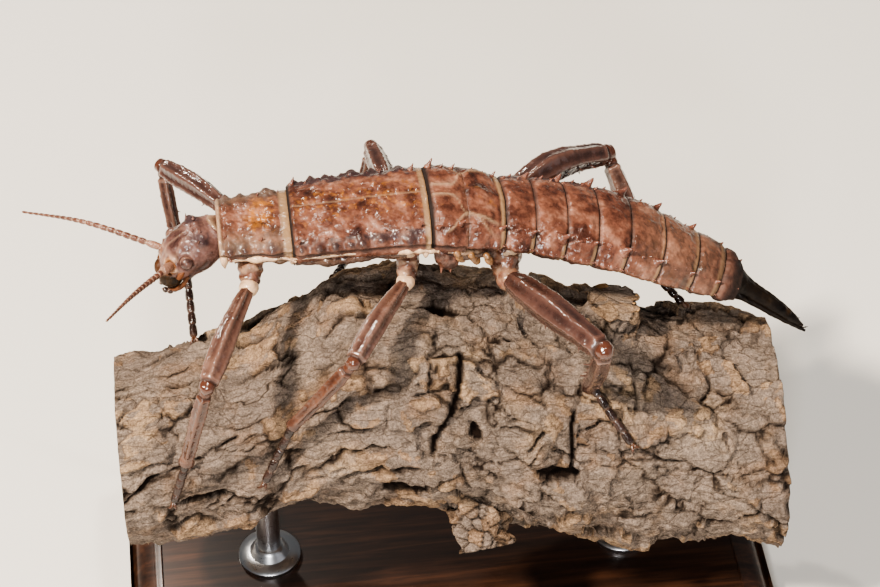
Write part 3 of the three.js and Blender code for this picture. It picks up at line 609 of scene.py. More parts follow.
# Rounded knobs on each side: t along the plate, degrees above the margin, height, width.
KNOBS = {
    "thorax_pro": [
        (0.14, 16, 1.1, 1.0), (0.36, 17, 0.9, 0.9), (0.74, 17, 1.15, 1.4), (0.55, 30, 0.5, 1.0),
        (0.3, 36, 0.4, 1.0), (0.42, 60, 0.3, 2.2), (0.15, 62, 0.3, 1.0),
    ],
    "thorax_meso": [
        (0.075, 15, 1.05, 0.85), (0.2, 16, 1.2, 0.85), (0.305, 17, 1.1, 0.8), (0.41, 18, 0.8, 0.75),
        (0.485, 18, 1.15, 0.85), (0.61, 19, 1.0, 0.8), (0.8, 17, 0.8, 1.1), (0.92, 15, 0.6, 0.8),
        (0.13, 29, 0.5, 0.6), (0.25, 31, 0.5, 0.55), (0.35, 30, 0.6, 0.6), (0.47, 33, 0.5, 0.6),
        (0.58, 33, 0.5, 0.6), (0.18, 42, 0.35, 0.5), (0.3, 44, 0.4, 0.5), (0.42, 45, 0.35, 0.5),
        (0.54, 44, 0.35, 0.5), (0.27, 60, 0.3, 2.6), (0.62, 55, 0.3, 3.2), (0.8, 40, 0.25, 1.6),
    ],
    "thorax_meta": [(0.25, 12, 0.6, 0.8), (0.6, 9, 0.6, 0.8), (0.4, 58, 0.45, 2.2), (0.45, 100, 0.35, 1.9)],
    "abdomen_1": [(0.35, 50, 0.4, 1.9), (0.35, 14, 0.3, 1.2), (0.8, 6, 0.7, 1.0), (0.3, 90, 0.3, 1.8)],
}
ABDOMEN_KNOBS = [
    (0.12, 3, 0.3, 0.45), (0.38, 3, 0.35, 0.5), (0.64, 3, 0.3, 0.5), (0.84, 37, 0.5, 0.75),
    (0.5, 22, 0.2, 1.1), (0.3, 58, 0.16, 1.2),
]
# Thorns on each side: t, degrees above the margin, length, stoutness.
THORNS = {
    "thorax_pro": [(0.1, -6, 1.3, 0.8), (0.6, 40, 1.5, 0.8), (0.08, 52, 0.8, 0.9), (0.86, 34, 0.7, 0.9)],
    "thorax_meso": [
        (0.05, 30, 1.7, 0.85), (0.9, 40, 1.4, 0.85), (0.15, 30, 0.8, 0.9), (0.27, 32, 0.95, 0.9),
        (0.37, 34, 0.7, 0.9), (0.47, 36, 0.9, 0.9), (0.57, 36, 0.75, 0.9), (0.67, 36, 0.9, 0.8),
        (0.78, 38, 0.8, 0.9), (0.305, 17, 0.9, 1.1), (0.61, 19, 0.8, 1.1), (0.485, 18, 0.7, 1.1),
        (0.2, 16, 0.7, 1.1),
    ],
    "thorax_meta": [(0.15, 36, 1.7, 0.85), (0.5, 4, 1.1, 0.9), (0.76, 44, 1.7, 0.85), (0.45, 40, 1.1, 0.9)],
    "abdomen_1": [(0.86, 38, 1.7, 0.85), (0.28, 42, 1.2, 0.9), (0.58, 40, 1.0, 0.9), (0.84, -4, 1.2, 0.8)],
}
ABDOMEN_SPIKES = [
    (0.86, 36, 1.9, 1.3), (0.62, 42, 0.85, 1.15), (0.38, 36, 1.0, 1.15), (0.14, 42, 0.7, 1.2),
    (0.72, 56, 0.5, 1.3), (0.3, 55, 0.45, 1.3), (0.5, 26, 0.45, 1.3),
]
MARGIN_TEETH = [
    (0.92, 1, 1.2, 0.9), (0.71, 3, 0.75, 1.2), (0.5, 2, 0.85, 1.2), (0.29, 3, 0.75, 1.2),
    (0.08, 2, 0.65, 1.2),
]
FULL_HALF = 10  # the half width at which the abdomen's thorns have their full size
TALL_KNOB = 0.75  # higher knobs are violet-black on top, with painted shade round their foot
# How far down the margin's groove lies, in degrees, and how ochre a plate's back is.
GROOVES = {0: 1, 1: 1, 2: -1, 3: -6}
OCHRES = {1: 0.46, 2: 0.38, 3: 0.38, 8: 0.36, 9: 0.34}


def trunk_path():
    joints = [Vector(TRUNK_START)]
    for plate in PLATES:
        joints.append(joints[-1] + tailward(plate.droop, plate.swing) * plate.length)
    return Path(joints)


TRUNK = trunk_path()


class Section:
    """The plain cross-section of a shell plate at t along it."""

    def __init__(self, index, t):
        plate = PLATES[index]
        self.roof, self.belly = plate.roof, plate.belly
        place = (index + t) / len(PLATES)
        tail = TRUNK.heading(clamp(place))
        past = (place - clamp(place)) * len(PLATES) * plate.length
        self.stretch = Stretch(TRUNK.at(clamp(place)) + tail * past, tail)
        self.half = lerp(plate.front, plate.hind, t)

    def place(self, angle, lift=0.0, reach=1.0):
        rise, out = math.sin(angle), math.cos(angle)
        deep = self.roof if rise > 0 else self.belly
        height = self.roof * rise if rise > 0 else -self.belly * abs(rise) ** BELLY_ROUND
        tuck = 1 if rise > 0 else 1 - BELLY_TUCK * abs(rise)
        way = math.hypot(deep * out, rise)
        across = self.half * out * tuck + lift * deep * out / way
        above = self.half * height + lift * rise / way
        return self.stretch.point(0, across * reach, above * reach)

    def across(self, angle, degrees):
        """Distance round the shell from an angle to a place given in degrees."""
        there = math.radians(degrees)
        gap = (angle - there + math.pi) % (2 * math.pi) - math.pi
        deep = self.roof if degrees > 0 else self.belly
        return gap * self.half * math.hypot(math.sin(there), deep * math.cos(there))


def both_sides(degrees):
    return (degrees, 180 - degrees)


def side_below(degrees):
    """Degrees above the nearer margin, negative underneath."""
    turned = (degrees + 90) % 360 - 90
    return turned if turned < 90 else 180 - turned


def seams(index, t):
    """Fine raised seams of the hind thorax: degrees out from the middle of the back, and strength.

    Two on each side cross where the hind thorax meets the first abdomen plate."""
    if index == MEDIAN_SEGMENT - 1:
        return [(8 + 23 * ease(t, 0.6, 1.0), 1.0), (60 - 29 * ease(t, 0.3, 1.0), ease(t, 0.3, 0.5))]
    if index == MEDIAN_SEGMENT:
        return [
            (31 + 20 * t, 1 - ease(t, 0.55, 0.95)),
            (31 + 36 * ease(t, 0, 0.8), 0.8 - 0.7 * ease(t, 0.4, 0.8))]
    return []


def seam_line(index, t, angle, section):
    lines = [strength * swell(section.across(angle, 90 + way * bent), 0.32)
             for bent, strength in seams(index, t) for way in (-1, 1)]
    return max(lines, default=0.0)


def shell_relief(index, s, angle, section, knobs):
    """How far the shell stands above its plain shape in mm, and its marks, at one place."""
    name, length = PLATES[index][:2]
    along = index + s / length
    thorax, grown, where = index < MEDIAN_SEGMENT, index == MEDIAN_SEGMENT, section.place(angle)
    degrees, back, under = math.degrees(angle), clamp(math.sin(angle)), clamp(-math.sin(angle))
    below, midline = side_below(degrees), section.across(angle, 90)
    side = min(abs(degrees), abs(180 - degrees)) if degrees > -90 else 90
    # The hem behind, and the slot in front of it.
    width, tan_side, tan_back = HEMS[name]
    hem = ease(s, length - width - 0.12, length - width + 0.06)
    slot = swell(s - (length - width - 0.15), 0.2)
    tan = hem * (tan_side if side < 30 else lerp(tan_side, tan_back, ease(side, 26, 46)))
    lift = 0.16 * hem - 0.2 * slot
    # Dents, wrinkles and granules.
    settled = ease(s, 0.0, 1.4) if index else 1.0
    lift += (0.3 * noise.noise(where / 6.5) + 0.16 * noise.noise(where / 2.7)) * settled
    fold = noise.noise(Vector((where.x / 0.9, where.y / 1.9, where.z / 1.9)) + Vector((3, 5, 7)))
    lift += (0.15 * (1 - abs(fold)) ** 3 + 0.09 * noise.noise(where / 0.75)) * (1 - hem)
    gaps, seeds = noise.voronoi(where / 1.5)
    lift += 0.44 * swell(gaps[0], 0.33) * ease(noise.cell(seeds[0] * 5.3), 0.35, 0.9) * (1 - hem)
    peak = knob_foot_shade = 0.0
    for knob_s, degrees_up, height, reach in knobs:
        gap = math.hypot(s - knob_s, section.across(angle, degrees_up))
        lift += height * swell(gap, reach)
        if height > TALL_KNOB:
            peak = max(peak, swell(gap, 0.8 * reach))
            # a ring of painted shade round the foot of each tall knob
            knob_foot_shade = max(knob_foot_shade, swell(gap - 1.45 * reach, 0.4 * reach))
    # The front edge, tucked in under the hem before it, and the seams and keels of the back.
    if index:
        lift -= (0.2 if grown else 0.55) * (1 - ease(s, 0, 0.9))
    cream = 0.0
    if name == "thorax_pro":
        lift += 0.35 * swell(s - 0.35, 0.35) - 0.25 * swell(s - 1.1, 0.4)
        cream = swell(s - 0.25, 0.35)
    if name == "thorax_meso":
        lift += 0.16 * swell(s - 1.3, 0.4) - 0.14 * swell(midline, 0.3)
        cream = 0.35 * swell(midline, 0.16)
    line = seam_line(index, s / length, angle, section)
    lift += 0.2 * line
    # The seams' cream is partly their own pale colour, partly a painted highlight along them.
    cream = max(cream, 0.7 * line)
    if not thorax:
        lift += 0.25 * math.sin(math.pi * clamp(s / length))
        lift += 0.1 * swell(midline, 0.5) * (1 - hem)
    # The margin and the groove below it.
    lift += 0.3 * swell(below - (6 if thorax else 0), 5)
    groove = swell(below - GROOVES.get(index, -11), 3.5)
    lift -= 0.5 * groove
    if thorax:
        lift += 0.55 * swell(below + 14, 9)
    # Colours. The deep mark is painted shade in the slot before each hem, at each plate's tucked-in front, in
    # the margin's groove and under the hem's end, and also the tail's own darkening.
    shade = (0.4, 0.95) if thorax else (0.2, 0.6)
    # front_shadow: a painted shadow where each plate tucks in under the hem before it.
    front_shadow = (1 - ease(s, *shade)) * (0.4 if grown else 1.0) if index else 0.0
    deep = max(
        0.85 * groove * (1 - hem), front_shadow, ease(s, length - 0.02, length + 0.05),
        0.8 * max(tan, 0.25) * slot, 0.4 * knob_foot_shade * (1 - peak) * (1 - hem), 0.5 * ease(along, 9.8, 11.2))
    ochre = 0.6 * swell(s - 8.5, 5.5) if index == 0 else OCHRES.get(index, 0.28)
    ochre = ochre * back + 0.2 * swell(side - 6, 10)
    # Dusk: the shell's own violet-black spots and patches, plus painted shade on the far side of the roof and
    # underneath.
    dusk = 0.24 + 0.24 * ease(degrees, 110, 140) * (degrees < 175)
    dusk += (0.2 if index < 2 else 0.06) * swell(side - 30, 12)
    dusk += 0.5 * ease(under, 0.1, 0.6)
    dusk += 0.36 * peak
    # Knob tops get a faint painted highlight; the cream band over the last plates is their own colour.
    cream = max(cream, 0.06 * peak, 0.12 * ease(along, 7.6, 9.0) * (1 - ease(along, 10.4, 11.4)))
    # Cream over the pronotum's lower side is a painted highlight.
    if index == 0:
        cream = max(cream, 0.3 * swell(side - 30, 26) * (1 - 0.85 * peak))
    if index == len(PLATES) - 1:
        lift += 0.55 * swell(s / length - 0.45, 0.35)
        deep = max(deep, 0.5 + 0.45 * ease(s / length, 0.1, 0.75))
    return lift, tan, clamp(ochre), clamp(dusk), clamp(cream), clamp(deep)


def knobs_of(index):
    """The knobs of a plate, each with its place along it in mm, on both sides."""
    plate = PLATES[index]
    size = plate.hind / FULL_HALF
    listed = KNOBS.get(plate.name) or [(t, low, high * size, reach) for t, low, high, reach in ABDOMEN_KNOBS]
    return [(t * plate.length, up, high, reach) for t, low, high, reach in listed for up in both_sides(low)]


def thorns_of(index):
    """Copies of the thorn that stand on a plate, on both sides."""
    size = PLATES[index].hind / FULL_HALF
    listed = list(THORNS.get(PLATES[index].name, []))
    teeth = (ABDOMEN_SPIKES if not listed else []) + (MARGIN_TEETH if index >= MEDIAN_SEGMENT else [])
    listed += [(t, low, reach * size, stout) for t, low, reach, stout in teeth]
    thorns = []
    for i, (t, low, reach, stout) in enumerate(listed):
        for k in (0, 1):
            stray = noise.noise_vector(Vector((index * 3.1 + i * 1.7, k * 5.3, 0.5)))
            section = Section(index, clamp(t + 0.09 * stray.x * (reach < 1), 0, 0.95))
            vary = 1 + 0.3 * stray.y
            angle = math.radians(both_sides(low + 7 * stray.z * (low > 10 and reach < 1.1))[k])
            foot = section.place(angle, -0.15)
            lean = section.place(angle, 1) - section.place(angle)
            lean += section.stretch.up * (0.5 if low > 0 else 0.0) + section.stretch.tail * 0.45
            thorns.append(thorn_at(foot, lean, reach * vary, stout, section.stretch.tail))
    return thorns


def plate_piece(index):
    """One shell plate: its back, hem and belly in one closed skin, with its thorns."""
    name, length = PLATES[index][:2]
    steps = round(length / STEP)
    if index:
        held = min(1.0, PLATES[index - 1].hind / PLATES[index].front)
        front = [(-TUCK, 0.0), (-TUCK, 0.88 * held), (-TUCK / 2, 0.9 * held), (-0.05, 0.94 * held)]
    else:
        front = [(2.2, 0.0), (2.0, 0.8), (0.7, 0.88), (0.1, 0.92), (-0.12, 0.95)]
    outer = [(length * i / steps, 1.0) for i in range(steps + 1)]
    hem = [(length + ahead, reach) for ahead, reach in (
        (0.07, 0.985), (0.03, 0.965), (-0.5, 0.93), (-TUCK, 0.9), (-TUCK, 0.0))]
    rows = front + outer + hem
    knobs = knobs_of(index)

    def row_place(row):
        s, reach = rows[row]
        section = Section(index, s / length)
        near = [knob for knob in knobs if abs(s - knob[0]) < 2.5 * knob[3]]

        def place(angle):
            lift, *values = shell_relief(index, s, angle, section, near)
            return (section.place(angle, lift, reach), *values)

        return place

    plate = drawn_out(name, SIDES, len(rows) - 1, row_place, SHELL_MARKS)
    return joined(f"shell_{name}", [plate, *thorns_of(index)])


def build_trunk():
    for index, plate in enumerate(PLATES):
        fitted(plate_piece(index), "shell", SHELL, plate.name)


# ---------------------------------------------------------------- head
COLLAR = Section(0, 0.0).stretch
HEAD = Stretch(COLLAR.middle + Vector((-0.6, 0, -0.4)), tailward(-HEAD_DROOP, -HEAD_SWING))
HEAD_MARKS = ("ochre", "dusk", "cream", "deep")
BEAK_MARKS = ("brown", "amber")
SKIN_MARKS = ("cream", "dusk")
HANDS = {"left": 1, "right": -1}  # which way each side lies from the middle of the head and beak
# Knobs of the head: ahead of the neck, out, up, height, width, on both sides.
HEAD_KNOBS = [
    (1.4, 2.5, 3.8, 0.75, 0.9), (2.6, 3.6, 2.9, 0.85, 0.95), (2.0, 1.0, 4.4, 0.35, 0.8),
    (4.2, 2.4, 4.0, 0.3, 1.0), (6.2, 1.9, 4.1, 0.3, 1.3), (8.3, 1.7, 3.6, 0.25, 1.1),
    (5.6, 4.3, 1.6, 0.35, 1.3), (4.0, 4.4, -1.5, 0.3, 2.2), (9.3, 3.6, 0.2, 0.3, 1.0),
]
# Thorns of the crown on both sides: place on the head, length, stoutness, lean outward.
CROWN_THORNS = [
    ((3.5, 3.4, 3.0), 1.6, 0.62, 0.5), ((1.9, 1.9, 4.2), 0.8, 0.8, 0.2), ((3.0, 0.7, 4.4), 0.45, 1.0, 0.0),
]
# Each feeler: the places in the world where it bends and ends, and how stout its first joint is.
FEELER_ROOT = (10.2, 2.6, 1.6)
FEELERS = {
    "left": ((-59.2, -4.9, 95.2), (-64.6, -15.9, 99.4), 0.86),
    "right": ((-68.0, 16.5, 94.2), (-81.0, 27.0, 88.8), 0.62),
}
FEELER_JOINTS, FIRST_JOINT = 19, 3.4  # how many the whip has, and the length of the stout one
# Bars of horn round the mouth on both sides: places on the head, radii, how brown, how amber.
HORN_BARS = {
    "cheek_edge": (
        [(8.9, 4.3, -1.8), (10.4, 4.1, -3.0), (12.2, 3.3, -4.0), (13.5, 2.0, -4.3)],
        [0.32, 0.52, 0.46, 0.3], 0.5, 0.6),
    "lip_edge": (
        [(11.6, 2.6, 0.1), (12.7, 2.3, -0.8), (13.5, 1.9, -2.3), (13.5, 1.5, -3.9)],
        [0.26, 0.38, 0.38, 0.28], 0.6, 0.4),
    "cheek_lobe": ([(10.6, 4.2, -0.9), (9.6, 4.35, -0.3), (8.7, 4.5, 0.2)], [0.5, 0.6, 0.2], 0.3, 0.75),
    "face_seam": ([(11.6, 0.9, 0.9), (12.0, 2.2, 0.3), (11.4, 3.5, 0.0)], [0.2, 0.28, 0.2], 0.5, 0.5),
}


def head_place(ahead, out, up):
    return HEAD.point(-ahead, out, up)


def head_places(places, side):
    return [head_place(ahead, side * out, up) for ahead, out, up in places]


def head_relief(ahead, side_out, up, plain):
    """Lift and marks of the head's skin at one place, the same on both sides."""
    out = abs(side_out)
    eye_gap = math.dist((ahead, out, up), EYE_PLACE)
    root_gap = math.dist((ahead, out, up), FEELER_ROOT)
    lift = 0.12 * swell(eye_gap - 1.7, 0.35) - 0.5 * (1 - ease(eye_gap, 1.0, 1.6))
    lift += 0.45 * swell(root_gap - 1.35, 0.32) - 0.5 * (1 - ease(root_gap, 0.6, 1.2))
    for knob_ahead, knob_out, knob_up, height, width in HEAD_KNOBS:
        lift += height * swell(math.dist((ahead, out, up), (knob_ahead, knob_out, knob_up)), width)
    top = ease(up, 1.5, 3.0)
    ridge = swell(out, 0.22) * top * ease(ahead, 3.4, 4.4)
    brow = swell(out - lerp(1.2, 2.9, ease(ahead, 4, 9)), 0.3) * top
    brow *= ease(ahead, 3.5, 5) * (1 - ease(ahead, 9.5, 11))
    cheek = swell(up + 1.2 + 0.25 * (ahead - 6), 0.35) * ease(ahead, 3, 5) * (1 - ease(ahead, 10, 11.5))
    lift += 0.14 * ridge + 0.16 * brow - 0.2 * cheek
    lift += 0.2 * noise.noise(plain / 2.6) + 0.07 * noise.noise(plain / 0.9)
    lift += 0.08 * (1 - abs(noise.noise(plain / 0.7 + Vector((9, 2, 4))))) ** 3
    pit_gaps, _ = noise.voronoi(plain / 0.8)
    lift -= 0.05 * swell(pit_gaps[0], 0.25)
    mouth = ease(ahead, 10.0, 11.4) * (1 - ease(up, -1.6, -0.6))
    lift -= 0.9 * mouth
    face = ease(ahead, 8.6, 10.8)
    blotch = ease(noise.noise(plain / 1.7 + Vector((5, 1, 8))), -0.1, 0.35)
    cream = clamp((0.4 * face * top + 0.75 * swell(root_gap - 1.4, 0.7)) * blotch + 0.3 * ridge + 0.2 * brow)
    crown = swell(math.dist((ahead, out, up), (2.4, 2.6, 3.7)), 2.3)
    # Painted shade: dusk deepens toward the underside, and the deep mark darkens the mouth's hollow, the
    # groove round each eye and the cheek crease.
    dusk = clamp(0.28 + 0.5 * crown + 0.25 * ease(-up, 0, 3))
    deep = clamp(0.85 * mouth + 0.3 * swell(eye_gap - 1.45, 0.14) + 0.3 * cheek)
    ochre = clamp(0.3 * face + 0.6 * swell(root_gap, 2.2))
    return lift, ochre, dusk, cream, deep


def build_skull():
    width, top, bottom = reading(HEAD_WIDTH), reading(HEAD_TOP), reading(HEAD_BOTTOM)
    rows, start, end = 92, -1.4, HEAD_LENGTH + 0.4

    def row_place(row):
        ahead = lerp(start, end, row / rows)
        t = ahead / HEAD_LENGTH
        round_off = min(1.0, (ahead - start) / 1.2, (end - ahead) / 2.4)
        reach = math.sqrt(max(0.0, 1 - (1 - round_off) ** 2))
        rise, half = (top(t) - bottom(t)) / 2, (top(t) + bottom(t)) / 2

        def place(angle):
            out = width(t) * math.cos(angle) * reach
            up = rise + half * math.sin(angle) * reach
            plain = head_place(ahead, out, up)
            lift, *values = head_relief(ahead, out, up, plain)
            way = HEAD.left * math.cos(angle) + HEAD.up * math.sin(angle)
            return (plain + way * (lift * reach), *values)

        return place

    skull = drawn_out("skull", 112, rows, row_place, HEAD_MARKS)
    thorns = []
    for (ahead, out, up), length, stout, splay in CROWN_THORNS:
        for side in (-1, 1):
            lean = HEAD.up + HEAD.left * (side * splay) + HEAD.tail * 0.5
            thorns.append(thorn_at(head_place(ahead, side * out, up), lean, length, stout, HEAD.tail))
    fitted(joined("head_capsule", [skull, *thorns]), "shell", HEAD_HORN, "head")


def bulb(name, middle, axis, radii, sides, rows, relief, marks):
    """A rounded knob: radii are its half height along the axis and its two half widths.

    relief(rise, angle, place) moves its skin out and gives marks; rise is 1 at the axis' end."""
    up = axis.normalized()
    side = up.cross(HEAD.up if abs(up.dot(HEAD.up)) < 0.9 else HEAD.tail).normalized()
    ahead = side.cross(up)

    def row_place(row):
        turn = math.pi * row / rows
        rise, reach = math.cos(turn), math.sin(turn)

        def place(angle):
            out = side * (radii[1] * math.cos(angle)) + ahead * (radii[2] * math.sin(angle))
            plain = middle + up * (radii[0] * rise) + out * reach
            lift, *values = relief(rise, angle, plain)
            return (plain + (plain - middle).normalized() * lift, *values)

        return place

    return drawn_out(name, sides, rows, row_place, marks)


def build_eyes():
    def rim(rise, angle, place):
        return 0.0, 1 - ease(rise, 0.15, 0.5)

    ahead, out, up = EYE_PLACE
    for name, side in HANDS.items():
        middle = head_place(ahead, side * out, up)
        axis = HEAD.left * side + HEAD.up * 0.3 - HEAD.tail * 0.1
        eye = bulb(f"eye_{name}", middle, axis, (1.4, 1.35, 1.4), 40, 28, rim, ("rim",))
        fitted(eye, "eye", EYE_GLASS, f"head_eye_{name}")


def build_feelers():
    """Each feeler: a stout first joint, then a whip of ringed joints."""
    for name, (bend, tip, stout) in FEELERS.items():
        path = Path([*head_places([FEELER_ROOT], HANDS[name]), bend, tip])
        scape = FIRST_JOINT / path.runs[-1]

        def radius(share):
            base = stout * (0.9 + 0.14 * math.sin(math.pi * clamp(share / scape)))
            return lerp(base, lerp(0.56, 0.2, ease(share, 0.1, 1.05)), ease(share, 0.85 * scape, 1.1 * scape))

        def relief(share, angle, place):
            past = share - scape
            joint = past / (1 - scape) * FEELER_JOINTS % 1 if past > 0 else clamp(share / scape)
            ring = swell(min(joint, 1 - joint), 0.12) if share > 0.03 else 0.0
            whip = radius(share) * (0.14 * math.sin(math.pi * joint) - 0.2 * ring)
            rough = 0.05 * noise.noise(place / 0.4)
            return whip + rough, 0.6 * ring, 0.55 * (past < 0) * (1 - ring), 0.3

        marks = ("cream", "tan", "dusk")
        feeler = limb(f"feeler_{name}", path, radius, Vector((0, 0, 1)), 20, 190, relief, marks)
        fitted(feeler, "limb", FEELER_HORN, f"head_antenna_{name}")


def bead_relief(joints, fat):
    """Relief of a palp: so many beads with pale creases between them."""
    def relief(share, angle, place):
        joint = share * joints % 1
        crease = swell(min(joint, 1 - joint), 0.12)
        bead = 0.25 * math.sin(math.pi * joint) - 0.3 * crease
        return fat * bead + 0.04 * noise.noise(place / 0.4), crease, 0.4
    return relief


def build_mouth():
    """Lip, two jaws, the horn frame round them and the palps."""
    def jaw_skin(rise, angle, plain):
        wave = noise.noise(plain / 1.5)
        return 0.14 * wave, 0.62 + 0.5 * clamp(wave + 0.2), 0.3 * (1 - ease(rise, 0.1, 0.45))

    def lip_skin(rise, angle, plain):
        return 0.1 * noise.noise(plain / 0.9), 0.8, 0.3 * (1 - abs(rise))

    lip_way = HEAD.tail * -1 - HEAD.up * 0.4
    parts = [bulb("lip", head_place(12.7, 0, -1.9), lip_way, (0.9, 2.2, 1.7), 32, 20, lip_skin, BEAK_MARKS)]
    for side in (-1, 1):
        outward = HEAD.left * side - HEAD.up * 0.1 - HEAD.tail * 0.55
        parts.append(bulb(
            "jaw", head_place(12.0, side * 1.8, -2.0), outward, (1.7, 2.3, 2.2), 40, 28, jaw_skin, BEAK_MARKS))
        for name, (places, sizes, brown, amber) in HORN_BARS.items():
            parts.append(limb(
                name, Path(head_places(places, side)), reading(sizes), HEAD.left, 14, 34,
                lambda share, angle, place: (0.07 * noise.noise(place / 0.7), brown, amber), BEAK_MARKS))
    fitted(joined("mouth", parts), "shell_dark", DARK_HORN, "head_mouthparts")
    for name, side in HANDS.items():
        long_path = Path(head_places([(11.4, 2.2, -4.6), (13.6, 1.6, -5.3), (14.9, 0.9, -4.2)], side))
        short_path = Path(head_places([(12.0, 1.0, -4.9), (13.3, 0.8, -5.6), (14.2, 0.5, -5.2)], side))
        long_sizes, short_sizes = reading([0.42, 0.5, 0.46, 0.5, 0.32]), reading([0.36, 0.4, 0.36, 0.26])
        palps = [
            limb("long_palp", long_path, long_sizes, HEAD.up, 14, 48, bead_relief(4, 0.5), SKIN_MARKS),
            limb("short_palp", short_path, short_sizes, HEAD.left, 14, 36, bead_relief(3, 0.4), SKIN_MARKS),
        ]
        fitted(joined(f"palps_{name}", palps), "joint", FOOT_HORN, f"head_palp_{name}")


def build_neck():
    path = Path([head_place(0.5, 0, -0.6), head_place(-1.2, 0, -0.6), COLLAR.middle + Vector((2.4, 0, -1.6))])

    def folds(share, angle, place):
        fold = math.sin(share * 26 + 1.5 * noise.noise(place / 2.5))
        return 0.25 * fold + 0.15 * noise.noise(place / 1.1), 0.15 + 0.15 * fold, 0.6

    neck = limb("neck_skin", path, reading([3.8, 3.4, 2.4, 2.0]), HEAD.up, 48, 36, folds, SKIN_MARKS)
    fitted(neck, "joint", JOINT_SKIN, "head_neck")


# ---------------------------------------------------------------- beak at the tail
BEAK = Stretch(Section(len(PLATES) - 1, 1.0).stretch.middle, tailward(32, 18))
# Each valve: its length, then its half width, top and bottom along it.
UPPER_VALVE = (
    18.2, [3.6, 2.35, 1.95, 1.65, 1.25, 0.3],
    [2.9, 2.0, 1.8, 1.5, 0.8, -0.3], [-1.6, -1.5, -1.4, -1.3, -1.2, -0.9])
LOWER_VALVE = (
    19.4, [3.4, 2.15, 1.85, 1.55, 1.15, 0.25],
    [0.6, 0.2, 0.0, -0.2, -0.5, -1.2], [-3.2, -2.5, -2.2, -2.1, -1.9, -1.6])
# Places along the beak, out and up: the spikes at its tip, and the run of each cercus.
BEAK_SPIKES = [(17.6, 0.3, -0.8), (18.2, -0.35, -0.9), (16.6, 0.6, -0.6), (15.6, -0.7, -0.3)]
CERCUS = [(0.2, 2.2, -0.2), (2.4, 2.8, -0.2), (3.9, 2.6, -0.5)]


def valve_piece(name, length, half, top, bottom):
    """One valve of the egg-laying beak: a long tapering trough of ribbed horn."""
    half, top, bottom = reading(half), reading(top), reading(bottom)
    rows = 60

    def row_place(row):
        t = clamp((row - 1) / (rows - 2))
        reach = 0.0 if row in (0, rows) else 1.0
        middle, tall = (top(t) + bottom(t)) / 2, (top(t) - bottom(t)) / 2

        def place(angle):
            ribs = 0.05 * math.cos(9 * angle) * (1 - t)
            out, rise = half(t) * math.cos(angle) * reach, middle + tall * math.sin(angle) * reach
            plain = BEAK.point(t * length - 0.8, out, rise)
            rough = 0.1 * noise.noise(plain / 1.3) + 0.06 * noise.noise(plain / 0.5) + ribs
            way = BEAK.left * math.cos(angle) + BEAK.up * math.sin(angle)
            # A painted sheen: brown on top of the beak, about three quarters along.
            painted_sheen = 0.75 * swell(t - 0.74, 0.07) * clamp(math.sin(angle))
            return plain + way * (rough * reach), 0.35 * (1 - ease(t, 0, 0.3)) + painted_sheen, 0.0

        return place

    return drawn_out(name, 48, rows, row_place, BEAK_MARKS)


def build_beak():
    lean = BEAK.up + BEAK.tail * 0.8
    spikes = [thorn_at(BEAK.point(*place), lean, 0.6, 0.6) for place in BEAK_SPIKES]
    for name, sizes, extra in (("upper", UPPER_VALVE, []), ("lower", LOWER_VALVE, spikes)):
        valve = joined(f"beak_{name}_valve", [valve_piece(name, *sizes), *extra])
        fitted(valve, "shell_dark", DARK_HORN, f"beak_{name}")
    for name, side in HANDS.items():
        places = [BEAK.point(run, side * out, rise) for run, out, rise in CERCUS]
        cercus = limb(
            f"cercus_{name}", Path(places), reading([0.6, 0.6, 0.5, 0.25]), BEAK.up, 16, 24,
            lambda share, angle, place: (0.06 * noise.noise(place / 0.5), 0.4, 0.0), BEAK_MARKS)
        fitted(cercus, "shell_dark", DARK_HORN, f"beak_cercus_{name}")


# ---------------------------------------------------------------- branch
BRANCH_ENDS = (BRANCH[0][0], BRANCH[-1][0])
BRANCH_MIDDLE = Path([station[:3] for station in BRANCH])
BARK_MARKS = ("worn", "crack")
FIBRES_TURN = 34  # the X past which the bark's fibres run round the branch and not along it
# Deep splits in the bark: places along each as X and degrees round, half width and depth.
SPLITS = [
    ([(1.7, 64), (0.8, 45), (-1.1, 33), (-3.8, 19), (-4.6, 9)], 0.7, 1.9),
    ([(-66, 8), (-60, 23), (-50, 31), (-43, 42)], 0.45, 1.5),
    ([(-66, 84), (-60, 90), (-52, 86), (-45, 88)], 0.4, 1.2),
    ([(-58, 80), (-57, 60), (-54, 50), (-56, 32)], 0.35, 1.1),
    ([(-12, 56), (-13.4, 33), (-15, 14)], 0.3, 0.9),
    ([(25, 60), (23, 38), (22, 14), (17, 4)], 0.6, 1.7),
    ([(13.9, 21), (16.6, 31)], 0.5, 1.3),
    ([(37, 30), (41, 24), (45, 26), (50, 20)], 0.4, 1.2),
    ([(50, 92), (52, 70), (49, 62)], 0.45, 1.4),
    ([(-28, 120), (-20, 108), (-16, 92), (-6, 96)], 0.5, 1.5),
]
# Hollows where a flake has fallen out: X, degrees round, half length, half width, depth.
HOLLOWS = [
    (-12, -18, 6, 1.8, 2.2), (20, 10, 5, 1.6, 1.8), (-50, 2, 5, 1.5, 1.6), (3, 22, 1.5, 2.5, 1.6),
    (-1, 92, 4, 2, 1.5),
]
# Cut side twigs: X, degrees round, reach from the middle, radii, how broken they are.
TWIGS = [("cut_stub", 30, 98, 29.0, (8, 5.5), 0.5), ("broken_knot", 1, -42, 33.0, (9, 5), 1.4)]


@functools.cache
def log_radius(x):
    held = clamp(x, *BRANCH_ENDS)
    i = next(k for k in range(1, len(BRANCH)) if BRANCH[k][0] >= held)
    a, b = BRANCH[i - 1], BRANCH[i]
    return lerp(a[3], b[3], ease(held, a[0], b[0]))


def branch_radius(x, angle):
    flat = 1 - 0.07 * (1 + math.cos(2 * (angle - math.radians(45))))
    return log_radius(x) * flat + 0.5 * (math.sin(3 * angle + x * 0.13) + math.sin(5 * angle - x * 0.21 + 1))


